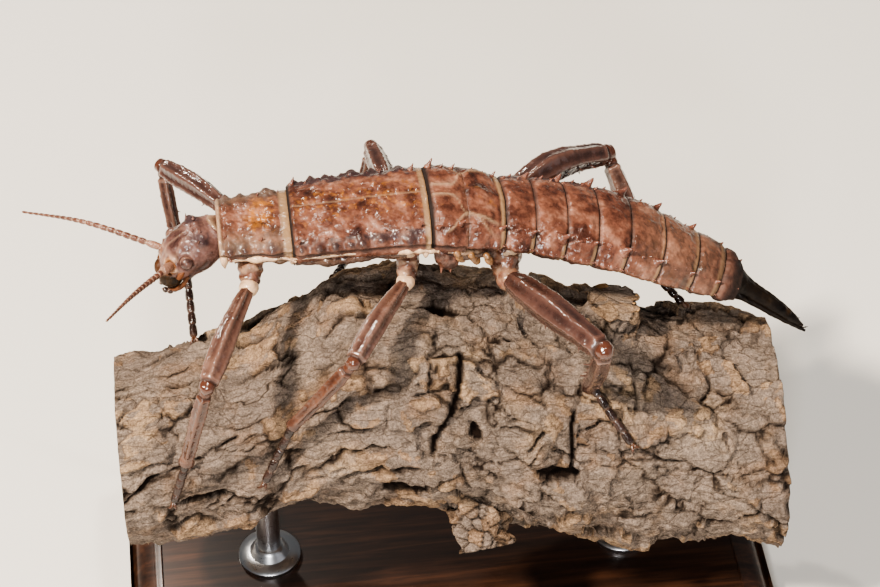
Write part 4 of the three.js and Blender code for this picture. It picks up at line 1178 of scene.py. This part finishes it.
@functools.cache
def branch_middle(x):
    return BRANCH_MIDDLE.at_x(clamp(x, *BRANCH_ENDS))


def bark_point(x, angle, height=0.0):
    middle = branch_middle(x)
    reach = branch_radius(x, angle) + height
    return Vector((x, middle.y - reach * math.cos(angle), middle.z + reach * math.sin(angle)))


def off_bark(place, clear):
    """The place itself, or the one above it that clears the bark."""
    middle = branch_middle(place.x)
    angle = math.atan2(place.z - middle.z, middle.y - place.y)
    pressed = bark_point(place.x, angle, clear)
    return pressed if (place - middle).length < (pressed - middle).length else place


def flakes_at(place):
    """Flaked bark at a place: how near the edge of a flake it is, and how high the flake sits."""
    gaps, seeds = noise.voronoi(place)
    return gaps[1] - gaps[0], noise.cell(seeds[0] * 3.7)


def split_depth(place, split):
    """How far a place lies down in a split whose places are given."""
    points, width, depth = split
    nearest = 99.0
    for a, b in zip(points, points[1:]):
        along = b - a
        t = clamp((place - a).dot(along) / along.length_squared)
        nearest = min(nearest, (place - a - along * t).length)
    return depth * swell(nearest, width) if nearest < 4 * width else 0.0


def bark_relief(x, angle, place, splits, feet):
    """How far the bark stands above the plain log in mm, how worn it is, and how much painted shade darkens
    its cracks.
    """
    middle = branch_middle(x)
    grain = Vector((x, place.y - middle.y, place.z - middle.z))
    warp = noise.noise_vector(grain / 6) * 2.2 + noise.noise_vector(grain / 1.9) * 0.8
    soft = grain + warp
    flaky = Vector((soft.x * lerp(0.4, 0.85, ease(x, -24, 12)), soft.y, soft.z))
    edge, level = flakes_at(flaky / 6.8)
    chip_edge, chip_level = flakes_at(flaky / 2.4 + Vector((7, 3, 1)))
    lift = 1.25 * (level - 0.4) * ease(edge, 0.0, 0.1)
    lift += 0.45 * (chip_level - 0.5) * ease(chip_edge, 0.0, 0.14)
    gap = swell(edge, 0.06) * ease(noise.noise(grain / 8 + Vector((2, 8, 5))), -0.35, 0.15)
    chip_gap = swell(chip_edge, 0.07) * ease(noise.noise(grain / 5 + Vector((9, 1, 2))), -0.2, 0.3)
    lift -= 1.2 * gap + 0.4 * chip_gap
    lift += 1.3 * noise.noise(grain / 13) + 0.6 * noise.noise(grain / 4.5)
    long, wide = (1.2, 5) if x > FIBRES_TURN else (9, 1.3)
    furrow = (1 - abs(noise.noise(Vector((soft.x / long, soft.y / wide, soft.z / wide))))) ** 5
    lift += 0.26 * noise.noise(grain / 1.1) + 0.16 * noise.noise(grain / 0.5) - 0.16 * furrow
    rough = sum(split_depth(place + warp * 0.35, split) for split in splits)
    for hollow_x, degrees, half_length, half_width, depth in HOLLOWS:
        turn = (angle - math.radians(degrees) + math.pi) % (2 * math.pi) - math.pi
        across = turn * branch_radius(x, angle)
        off = math.hypot((x - hollow_x + warp.x * 0.5) / half_length, (across + warp.y * 0.5) / half_width)
        rough += depth * (1 - ease(off, 0.7, 1.1))
    lift -= rough
    # dark: painted shade, the deeper the gaps, furrows, splits and hollows the darker.
    dark = clamp(0.95 * gap + 0.5 * chip_gap + 0.2 * furrow ** 2 + ease(rough, 0.35, 1.3))
    worn = ease(0.6 * level + 0.4 * chip_level + 0.4 * noise.noise(grain / 3), 0.45, 0.7) * (1 - dark)
    for foot in feet:
        room = (place - foot).length
        if room < 4.5:
            lift = lerp(min(lift, room - 0.95), lift, ease(room, 2.4, 4.5))
    return lift, worn, dark


def barked(piece, is_bare):
    """Gives a piece of the branch its bark, and bare wood on the faces where is_bare says so."""
    piece.data.materials.append(BARK)
    piece.data.materials.append(SAWN_WOOD)
    for face in piece.data.polygons:
        face.material_index = int(is_bare(face))
    return piece


def build_branch(feet):
    splits = [
        ([bark_point(x, math.radians(degrees)) for x, degrees in points], width, depth)
        for points, width, depth in SPLITS]
    sides, rows = 304, 300
    first, last = BRANCH_ENDS

    def row_place(row):
        inset = {0: 0.0, 1: 0.6, 2: 0.92, rows - 2: 0.92, rows - 1: 0.6, rows: 0.0}.get(row, 1.0)
        x = lerp(first, last, clamp((row - 3) / (rows - 6)))
        middle = branch_middle(x)
        near = [foot for foot in feet if abs(foot.x - x) < 5]
        split = [each for each in splits if min(p.x for p in each[0]) - 4 < x < max(p.x for p in each[0]) + 4]

        def place(angle):
            plain = bark_point(x, angle)
            lift, worn, dark = bark_relief(x, angle, plain, split, near)
            whole = bark_point(x, angle, lift)
            return (middle.lerp(whole, inset), 0.0, 0.0) if inset < 1 else (whole, worn, dark)

        return place

    log = barked(
        drawn_out("branch_log", sides, rows, row_place, BARK_MARKS),
        lambda face: abs(face.normal.x) > 0.999 and abs(abs(face.center.x) / MM - last) < 0.01)
    branch = joined("branch", [log, *(twig_piece(*twig) for twig in TWIGS)])
    fitted(branch, "bark", None, "perch_branch")


def twig_piece(name, x, degrees, reach, radii, broken):
    """The stump of a side twig: barked round its sides, bare wood where it was cut or broken."""
    angle = math.radians(degrees)
    middle = branch_middle(x)
    tip = middle + Vector((4, -reach * math.cos(angle), reach * math.sin(angle)))
    run = (tip - middle).normalized()
    side = run.cross(Vector((1, 0, 0))).normalized()
    ahead = side.cross(run)
    length = (tip - middle).length
    rows, start = 56, 0.62

    def row_place(row):
        t = lerp(start, 1.0, clamp((row - 1) / (rows - 6)))
        inset = {-rows: 0.0, -4: 0.96, -3: 0.8, -2: 0.55, -1: 0.3, 0: 0.0}.get(row - rows, 1.0)
        core, radius = middle + run * (length * t), lerp(*radii, t)

        def place(angle):
            way = side * math.cos(angle) + ahead * math.sin(angle)
            plain = core + way * radius
            edge, level = flakes_at(plain / 3.1)
            gap = swell(edge, 0.09)
            lift = broken * (1.6 * noise.noise(plain / 4.2) + 0.5 * noise.noise(plain / 1.7))
            out = core + way * ((radius + lift + 0.6 * (level - 0.5) - 0.6 * gap) * inset)
            if row > rows - 5:
                out = out + run * (0.5 * broken * noise.noise(out / 2.1) - 0.4)
            # The crack mark here is painted shade in the gaps between flakes.
            return out, 0.4 * level, clamp(0.9 * gap) if inset == 1.0 else 0.0

        return place

    return barked(
        drawn_out(name, 72, rows, row_place, BARK_MARKS),
        lambda face: broken < 1 and (face.center / MM - tip).dot(run) > -0.75 and face.normal.dot(run) > 0.5)


# ---------------------------------------------------------------- legs
TARSUS_RADIUS, TARSUS_CLEAR, TARSUS_JOINTS = 0.72, 1.05, 5
CLAW_LENGTH, CLAW_SPREAD = 2.4, 24
LEG_MARKS = ("ridge", "knee", "dusk", "deep")


def leg_run(turns, side):
    sweep, rise = (math.radians(turn) for turn in turns)
    return Vector((math.cos(rise) * math.sin(sweep), side * math.cos(rise) * math.cos(sweep), math.sin(rise)))


def square_to(run, axis):
    return (run - axis * run.dot(axis)).normalized()


class Leg:
    """Where the joints of one leg are and the paths of its parts."""

    def __init__(self, pair_name, side_name, femur, tibia, foot, bow):
        self.name, self.pair = f"{pair_name}_{side_name}", PAIRS[pair_name]
        self.side = -1 if side_name == "left" else 1
        self.hind = pair_name == "hind"
        # The far (right) legs take the darker hind horn as painted shade.
        self.horn, self.shin = (HIND_AND_SHADED_LEG, HIND_AND_SHADED_SHIN) if self.hind or self.side > 0 else (FRONT_LEG, SHIN)
        hip_x, out, drop = self.pair.hip
        body = TRUNK.at_x(hip_x)
        self.hip = Vector((hip_x, body.y + self.side * out, body.z - drop))
        self.socket = self.hip.lerp(body, 0.45)
        self.socket.x = hip_x + 0.6
        self.femur_run, self.tibia_run = leg_run(femur, self.side), leg_run(tibia, self.side)
        self.across = self.femur_run.cross(self.tibia_run).normalized()
        kneecap = self.pair.femur_radii[-1]
        self.knee = self.hip + self.femur_run * self.pair.femur
        ankle = self.knee + self.tibia_run * self.pair.tibia
        self.femur_path = Path([
            self.hip + self.femur_run * (self.pair.ball / 2),
            self.hip.lerp(self.knee, 0.5) + Vector((0, 0, bow)),
            self.knee + self.femur_run * (kneecap * 0.5)])
        self.tibia_path = Path([
            self.knee + self.tibia_run * (kneecap * 0.6),
            self.knee.lerp(ankle, 0.5) + self.femur_run * 0.5, ankle])
        toe = bark_point(foot[0], math.radians(foot[1]), TARSUS_CLEAR)
        soles = [off_bark(ankle.lerp(toe, t), TARSUS_CLEAR + 0.2) for t in (0, 0.25, 0.5, 0.75)]
        self.tarsus_places = [*soles, toe]
        self.tarsus_path = Path(self.tarsus_places)


LEGS = [Leg(*stance) for stance in STANCES]


def build_hip(leg):
    """Creased hip cone, glossy cream ball of the trochanter and the dark ring between them."""
    ball = leg.pair.ball

    def cone(share, angle, place):
        crease = math.sin(share * 17 + 4 * noise.noise(place / 2))
        flange = 0.28 * max(0.0, math.cos(2 * angle)) * (1 - share)
        cream = clamp(0.9 * noise.noise(place / 1.6 + Vector((4, 4, 4))) + 0.25 * crease + 0.05)
        cream *= 0.35 if leg.hind else 0.6
        rough = 0.3 * noise.noise(place / 1.5) + 0.12 * noise.noise(place / 0.6)
        return 0.1 * crease + flange + rough, cream, 0.4

    def gloss(rise, angle, place):
        groove = swell(rise + 0.5, 0.12)
        cream = (0.18 if leg.hind else 0.92) - 0.6 * groove - 0.5 * clamp(noise.noise(place / 1.1))
        dusk = 0.35 * clamp(noise.noise(place / 1.3) + 0.3)
        return 0.08 * noise.noise(place / 0.6) - 0.12 * groove, clamp(cream), dusk

    hip = limb(
        "hip_cone", Path([leg.socket, leg.hip]), reading([1.5 * ball, 1.35 * ball, 0.98 * ball]),
        Vector((1, 0, 0)), 40, 30, cone, SKIN_MARKS)
    trochanter = bulb(
        "trochanter", leg.hip + leg.femur_run * (0.45 * ball), leg.femur_run,
        (ball * 1.25, ball * 1.14, ball * 1.1), 32, 24, gloss, SKIN_MARKS)
    fitted(joined(f"hip_{leg.name}", [hip, trochanter]), "joint", JOINT_SKIN, f"leg_{leg.name}_coxa")


def leg_thorns(path, radius, count, length, span, down, across):
    """A double row of thorns on the underside of a long part of a leg."""
    thorns = []
    for way in (-1, 1):
        for i in range(count):
            share = lerp(*span, (i + 0.25 * (way + 1)) / count)
            t = path.even(share)
            out = (down + across * (0.75 * way)).normalized()
            foot = path.at(t) + out * (radius(share) * 0.88)
            reach = length * (0.7 + 0.3 * math.sin(2.4 * i + way))
            run = path.heading(t)
            thorns.append(thorn_at(foot, out + run * 0.35, reach, 0.6, run))
    return thorns


def ridged(strength, ridges, knee_at, ring_at):
    """Relief of a leg part: lengthwise keels, cross wrinkles and the coloured joint at one end."""
    def relief(share, angle, place):
        keel = abs(math.cos(angle * ridges / 2)) ** 3
        body = ease(share, 0.02, 0.12) * (1 - ease(share, 0.86, 0.96))
        wrinkle = noise.noise(place / 0.8)
        ring = swell(share - ring_at, 0.012)
        rim = swell(share - lerp(ring_at, 0.5, 0.06), 0.02)
        beads, _ = noise.voronoi(place / 0.95)
        lift = strength * (keel - 0.35) * body + 0.06 * wrinkle - 0.28 * ring + 0.16 * rim
        lift += 0.1 * noise.noise(place / 2.2) + 0.16 * keel * body * swell(beads[0], 0.3)
        knee = ease(abs(share - knee_at), 0.1, 0.02)
        # ridge colour: the keels' own paler horn plus a painted highlight; dusk between the keels is painted
        # shade
        return lift, clamp(0.42 * keel * body + 0.5 * rim), 0.7 * knee, 0.12 * (1 - keel), 0.6 * ring
    return relief


def build_femur(leg):
    """Keeled femur with a double row of thorns below and the two cheeks of the kneecap."""
    def cheek_skin(rise, angle, place):
        return 0.3 * noise.noise(place / 0.8), 0.0, 0.5, 0.2, 0.3 + 0.25 * noise.noise(place / 0.6)

    path, sizes = leg.femur_path, reading(leg.pair.femur_radii)
    down, kneecap = square_to(leg.tibia_run, leg.femur_run), leg.pair.femur_radii[-1]
    femur = limb("femur", path, sizes, leg.across, 60, 150, ridged(0.4, 6, 1.0, 0.935), LEG_MARKS, 0.7)
    count, length = (5, 1.8) if leg.hind else (4, 0.9)
    thorns = leg_thorns(path, sizes, count, length, (0.3, 0.85), down, leg.across)
    radii = (0.3 * kneecap, 0.44 * kneecap, 0.44 * kneecap)
    cheeks = [
        bulb("cheek", leg.knee + way * (0.72 * kneecap), way, radii, 18, 12, cheek_skin, LEG_MARKS)
        for way in (-leg.across, leg.across)]
    fitted(joined(f"femur_{leg.name}", [femur, *cheeks, *thorns]), "limb", leg.horn, f"leg_{leg.name}_femur")


def build_tibia(leg):
    path, sizes = leg.tibia_path, reading(leg.pair.tibia_radii)
    inner = -square_to(leg.femur_run, leg.tibia_run)
    tibia = limb(
        "tibia", path, lambda share: sizes(share) * (1 + 0.18 * ease(share, 0.9, 0.98)), leg.across,
        48, 120, ridged(0.28, 5, 0.0, 0.06), LEG_MARKS, 0.6)
    count, length = (6, 1.5) if leg.hind else (5, 0.8)
    thorns = leg_thorns(path, sizes, count, length, (0.25, 0.95), inner, leg.across)
    fitted(joined(f"tibia_{leg.name}", [tibia, *thorns]), "limb", leg.shin, f"leg_{leg.name}_tibia")


def build_foot(leg):
    """Five lobed joints with pale rings, a soft pad and two curved claws."""
    heel, toe = leg.tarsus_places[-2:]
    run = (toe - heel).normalized()
    out = square_to(toe - branch_middle(toe.x), run)

    def lobes(share, angle, place):
        joint = share * TARSUS_JOINTS % 1
        crease = swell(min(joint, 1 - joint), 0.09) * ease(share, 0.02, 0.05)
        swollen = 0.09 * math.sin(math.pi * joint) + 0.08 * joint
        return swollen - 0.14 * crease + 0.04 * noise.noise(place / 0.4), 0.28 * crease, 0.4

    tarsus = limb(
        "tarsus", leg.tarsus_path, lambda share: TARSUS_RADIUS, leg.femur_run, 20, 100, lobes, SKIN_MARKS)
    pad = bulb(
        "pad", toe + run * 0.7 - out * 0.05, run, (0.75, 0.5, 0.6), 16, 12,
        lambda rise, angle, place: (0.0, 0.6, 0.2), SKIN_MARKS)
    fitted(joined(f"foot_{leg.name}", [tarsus, pad]), "foot", FOOT_HORN, f"leg_{leg.name}_tarsus")
    claws = []
    for way in (-1, 1):
        spread = Matrix.Rotation(math.radians(way * CLAW_SPREAD), 3, out) @ run
        bends = [
            toe + spread * (CLAW_LENGTH * share) + out * rise
            for share, rise in ((0.5, 0.62), (0.85, 0.15), (1, -0.35))]
        path = Path([toe + run * 0.1 + out * 0.1, *bends])
        claws.append(limb(
            "claw", path, reading([0.34, 0.3, 0.2, 0.05]), out, 14, 22,
            lambda share, angle, place: (0.0, ease(share, 0.5, 0.95)), ("tip",)))
    fitted(joined(f"claws_{leg.name}", claws), "foot", CLAW_HORN)


def build_legs():
    for leg in LEGS:
        for build in (build_hip, build_femur, build_tibia, build_foot):
            build(leg)


# ---------------------------------------------------------------- flanks
# Folds of skin under the margins: plate and t where each starts and ends, degrees, how far out
# its middle lies, radius, ripples, how cream it is.
FOLDS = [
    ("collar_fringe", (0, 0.12), (0, 1.02), -11, 0.55, 0.72, 6, 0.85),
    ("collar_under", (0, 0.2), (1, 0.02), -27, 0.5, 1.3, 5, 0.15),
    ("flank_edge", (1, 0.0), (1, 0.8), -6, 0.15, 0.4, 3, 0.55),
    ("flank_band", (1, 0.02), (1, 0.78), -19, 0.75, 1.35, 6, 0.05),
    ("hip_fringe", (1, 0.66), (2, 0.2), -10, 0.45, 0.75, 6, 0.8),
    ("rear_band", (2, 0.3), (3, 0.8), -24, 0.6, 1.2, 5, 0.05),
    ("rear_fringe", (2, 0.5), (3, 0.45), -12, 0.4, 0.5, 6, 0.25),
]
# Pale lobes that hang from the margins: plate and t, degrees of top and bottom, length, radius.
LOBES = [(0, 0.05, -3, -30, 3.0, 0.78), (0, 0.98, -14, -30, 1.6, 0.8), (1, 0.95, -12, -30, 1.5, 0.8)]


def fold_piece(name, start, end, degrees, out, radius, ripples, pale, turned):
    """A puckered fold that runs along under the margin of the shell."""
    spots = []
    for i in range(7):
        place = lerp(start[0] + start[1], end[0] + end[1], i / 6)
        index = min(int(place), len(PLATES) - 1)
        spots.append(Section(index, place - index).place(math.radians(turned(degrees)), out - 0.3 * radius))

    def puckers(share, angle, place):
        wave = noise.noise(Vector((share * ripples, pale * 9, radius * 7)))
        lift = radius * (0.6 * wave + 0.3 * noise.noise(place / 2.4) + 0.1 * noise.noise(place / 0.8))
        # The upper side of each fold is paler: a painted highlight.
        upper = ease(math.sin(angle), -0.4, 0.5)
        light = pale * (0.5 + 0.6 * upper + 0.8 * wave)
        return lift, clamp(light), clamp(0.8 - 0.6 * pale)

    def tapered(share):
        return radius * (0.55 + 0.45 * math.sin(math.pi * clamp(share, 0.04, 0.96)))

    return limb(name, Path(spots), tapered, Vector((0, 0, 1)), 24, 90, puckers, SKIN_MARKS)


def build_flanks():
    """The puckered folds, pale lobes and socket lumps between the shell and the hips."""
    for side_name, turned in (("left", lambda degrees: degrees), ("right", lambda degrees: 180 - degrees)):
        pieces = [fold_piece(*fold, turned) for fold in FOLDS]
        for index, t, high, low, length, radius in LOBES:
            section = Section(index, t)
            top, bottom = (section.place(math.radians(turned(degrees)), 0.1) for degrees in (high, low))
            outward = (top - section.stretch.middle).normalized()
            drop = ((bottom - top).normalized() - section.stretch.up).normalized()
            path = Path([top, top + drop * (0.5 * length) + outward * 0.7, top + drop * length + outward])
            pieces.append(limb(
                "lobe", path, reading([radius, radius, 0.6 * radius, 0.2]), section.stretch.tail, 20, 24,
                lambda share, angle, place: (0.12 * noise.noise(place / 0.8), 0.9, 0.1), SKIN_MARKS))
        for leg in LEGS:
            if leg.name.endswith(side_name):
                pieces += socket_lumps(leg)
        pieces += under_plate(turned)
        fitted(joined(f"flank_{side_name}", pieces), "joint", JOINT_SKIN)


def under_plate(turned):
    """The dull plate under the hind thorax with its two spines, and the golden knobs behind it."""
    section = Section(2, 0.55)
    rim = section.place(math.radians(turned(0)))
    middle = rim - section.stretch.up * 4.3 + (section.stretch.middle - rim).normalized() * 1.7
    outward = (rim - section.stretch.middle).normalized() + section.stretch.up * 0.25

    def skin(rise, angle, place):
        return 0.16 * noise.noise(place / 0.8), 0.0, 0.5 + 0.4 * noise.noise(place / 1.2)

    pieces = [bulb("under_plate", middle, outward, (1.3, 2.3, 3.1), 40, 24, skin, SKIN_MARKS)]
    for along, reach in ((-0.6, 1.5), (1.2, 1.3)):
        foot = middle - section.stretch.up * 1.9 + section.stretch.tail * along + outward * 0.4
        pieces.append(thorn_at(foot, outward * 0.7 - section.stretch.up, reach, 0.9))
    for i in range(9):
        at = Section(2, 0.8 + 0.13 * i)
        way = -12 - 11 * (i % 3) - 3 * noise.noise(Vector((i * 1.7, 0.4, 0.2)))
        foot = at.place(math.radians(turned(way)), 0.5 + 0.35 * (i % 3))
        size = 0.95 + 0.25 * noise.noise(Vector((i * 2.3, 0.1, 0.7)))
        gold = 0.45 + 0.4 * (i % 2)

        def golden(rise, angle, place):
            return 0.14 * noise.noise(place / 0.5), 0.4 * gold * clamp(rise + 0.4), gold, 0.2

        radii, marks = (0.9 * size, 0.8 * size, size), ("cream", "tan", "dusk")
        pieces.append(bulb("flank_knob", foot, foot - at.stretch.middle, radii, 16, 12, golden, marks))
    return pieces


def socket_lumps(leg):
    """Rounded lumps of skin round the root of a hip."""
    def skin(rise, angle, place):
        return 0.22 * noise.noise(place / 1.1), clamp(0.75 + 0.9 * noise.noise(place / 1.8)), 0.3

    ball = leg.pair.ball
    run = (leg.hip - leg.socket).normalized()
    ahead = square_to(Vector((1, 0, 0)), run)
    across = run.cross(ahead)
    lumps = []
    for i in range(6):
        turn = math.radians(60 * i + 20)
        out = ahead * math.cos(turn) + across * math.sin(turn)
        size = ball * (0.62 + 0.14 * math.sin(3.1 * i + leg.hip.x))
        middle = leg.socket.lerp(leg.hip, 0.12 + 0.1 * math.sin(2.3 * i)) + out * (ball * 1.18)
        radii = (0.7 * size, size, size * 0.85)
        lumps.append(bulb("lump", middle, out + run * 0.4, radii, 20, 14, skin, SKIN_MARKS))
    return lumps


# ---------------------------------------------------------------- stand
BASE_SIZE = (136, 76, 8)
BASE_CORNER, BASE_EDGE = 6, 0.7  # the bevels of its corners and of its edges
BASE_GROOVE = [(3.5, -0.8), (0.9, 0.8)]  # how far in from the rim each step lies, and its height
RODS = {"left": -38, "right": 38}  # the X of each
ROD_IN_BRANCH = 6  # how deep each rod goes into the branch


def build_stand():
    """Lacquered wooden base with rounded corners, a routed step and brushed steel rods."""
    length, width, thick = (size * MM for size in BASE_SIZE)
    deselect()
    bpy.ops.mesh.primitive_cube_add(size=1, location=(0, 0, thick / 2))
    base = named_mesh("stand_board")
    base.scale = (length, width, thick)
    bpy.ops.object.transform_apply(location=True, rotation=True, scale=True)

    def upright(edge):
        a, b = (base.data.vertices[i].co for i in edge.vertices)
        return abs(a.z - b.z) > thick / 2

    edit_selected("edges", upright, "EDGE")
    bpy.ops.mesh.bevel(offset=BASE_CORNER * MM, segments=8)
    edit_selected("polygons", faces_up, "FACE")
    for border, rise in BASE_GROOVE:
        bpy.ops.mesh.inset(thickness=border * MM)
        bpy.ops.mesh.extrude_region_move(TRANSFORM_OT_translate={"value": (0, 0, rise * MM)})
    bpy.ops.object.mode_set(mode="OBJECT")
    soft = base.modifiers.new("soft_edges", "BEVEL")
    soft.width, soft.segments = BASE_EDGE * MM, 3
    soft.limit_method, soft.angle_limit = "ANGLE", math.radians(35)
    bpy.ops.object.modifier_apply(modifier="soft_edges")
    bpy.ops.object.shade_smooth_by_angle(angle=math.radians(30))
    fitted(base, "stand", STAND_WOOD, "stand_base")
    for name, x in RODS.items():
        top = bark_point(x, -math.pi / 2).z + ROD_IN_BRANCH
        middle = Vector((x, branch_middle(x).y, 0))
        rings = [  # Z and radius
            (8.02, 0), (8.02, 6.4), (8.5, 6.6), (9.2, 6.6), (9.7, 6.1), (10.1, 4.2), (11.4, 3.3), (11.9, 2.9),
            (12.1, 2.5), (13.5, 2.5), (top - 7, 2.5), (top - 0.3, 2.5), (top, 2.2), (top, 0),
        ]

        def row_place(row):
            z, radius = rings[row]
            return lambda angle: (middle + Vector((radius * math.cos(angle), radius * math.sin(angle), z)),)

        rod = drawn_out(f"stand_support_{name}", 48, len(rings) - 1, row_place)
        bpy.context.view_layer.objects.active = rod
        rod.select_set(True)
        bpy.ops.object.shade_smooth_by_angle(angle=math.radians(35))
        fitted(rod, "rod", ROD_STEEL, f"stand_rod_{name}")


# ---------------------------------------------------------------- camera, light and floor
LOOK_AT = (0, 10, 73)
CAMERA_TURN, CAMERA_RISE, CAMERA_REACH = -7, 45, 489  # degrees round and up, and mm away
# Each lamp: place and width in metres, watts and colour.
LAMPS = {
    "key_lamp": ((-0.6, -0.28, 0.95), 0.1, 25.0, "#fff1e0"),
    "top_lamp": ((0.08, -0.24, 1.08), 0.045, 3.6, "#fff6ea"),
    "back_lamp": ((-0.34, 0.6, 0.84), 0.055, 3.6, "#fff6ea"),
    "front_lamp": ((-0.1, -0.62, 0.42), 0.08, 3.2, "#ffffff"),
    "low_fill": ((0.6, -0.4, 0.3), 0.6, 0.5, "#f4f7ff"),
}


def build_stage():
    def added(name, data, place):
        """A camera or lamp at a place, turned to look at the animal."""
        piece = bpy.data.objects.new(name, data)
        scene.collection.objects.link(piece)
        piece.location = place
        piece.rotation_euler = (piece.location - look_at).to_track_quat("Z", "Y").to_euler()
        return piece

    scene = bpy.context.scene
    look_at = Vector(LOOK_AT) * MM
    turn, rise = math.radians(CAMERA_TURN), math.radians(CAMERA_RISE)
    away = Vector((math.sin(turn) * math.cos(rise), -math.cos(turn) * math.cos(rise), math.sin(rise)))
    camera = bpy.data.cameras.new("camera")
    camera.lens, camera.sensor_width, camera.clip_start = 100, 36, 0.01
    scene.camera = added("camera", camera, look_at + away * (CAMERA_REACH * MM))

    deselect()
    bpy.ops.mesh.primitive_plane_add(size=3, location=(0, 0, 0))
    floor = bpy.context.object
    floor.name = "floor"
    floor.data.materials.append(Finish("pale_studio_card").done(Base_Color="#dedbd5", Roughness=0.9))

    for name, (place, size, watts, colour) in LAMPS.items():
        lamp = bpy.data.lights.new(name, "AREA")
        lamp.size, lamp.energy, lamp.color = size, watts, linear(colour)[:3]
        added(name, lamp, place)
    scene.world = bpy.data.worlds.new("studio")
    scene.world.use_nodes = True
    sky = scene.world.node_tree.nodes["Background"].inputs
    sky["Color"].default_value, sky["Strength"].default_value = linear("#eceff2"), 0.17
    scene.view_settings.look = "AgX - Medium High Contrast"


# ---------------------------------------------------------------- the whole model
feet = [leg.tarsus_path.at(i / 10) for leg in LEGS for i in range(11)]
build_trunk()
build_skull()
build_eyes()
build_feelers()
build_mouth()
build_neck()
build_beak()
build_legs()
build_flanks()
build_branch(feet)
build_stand()
build_stage()
bpy.data.objects.remove(THORN)
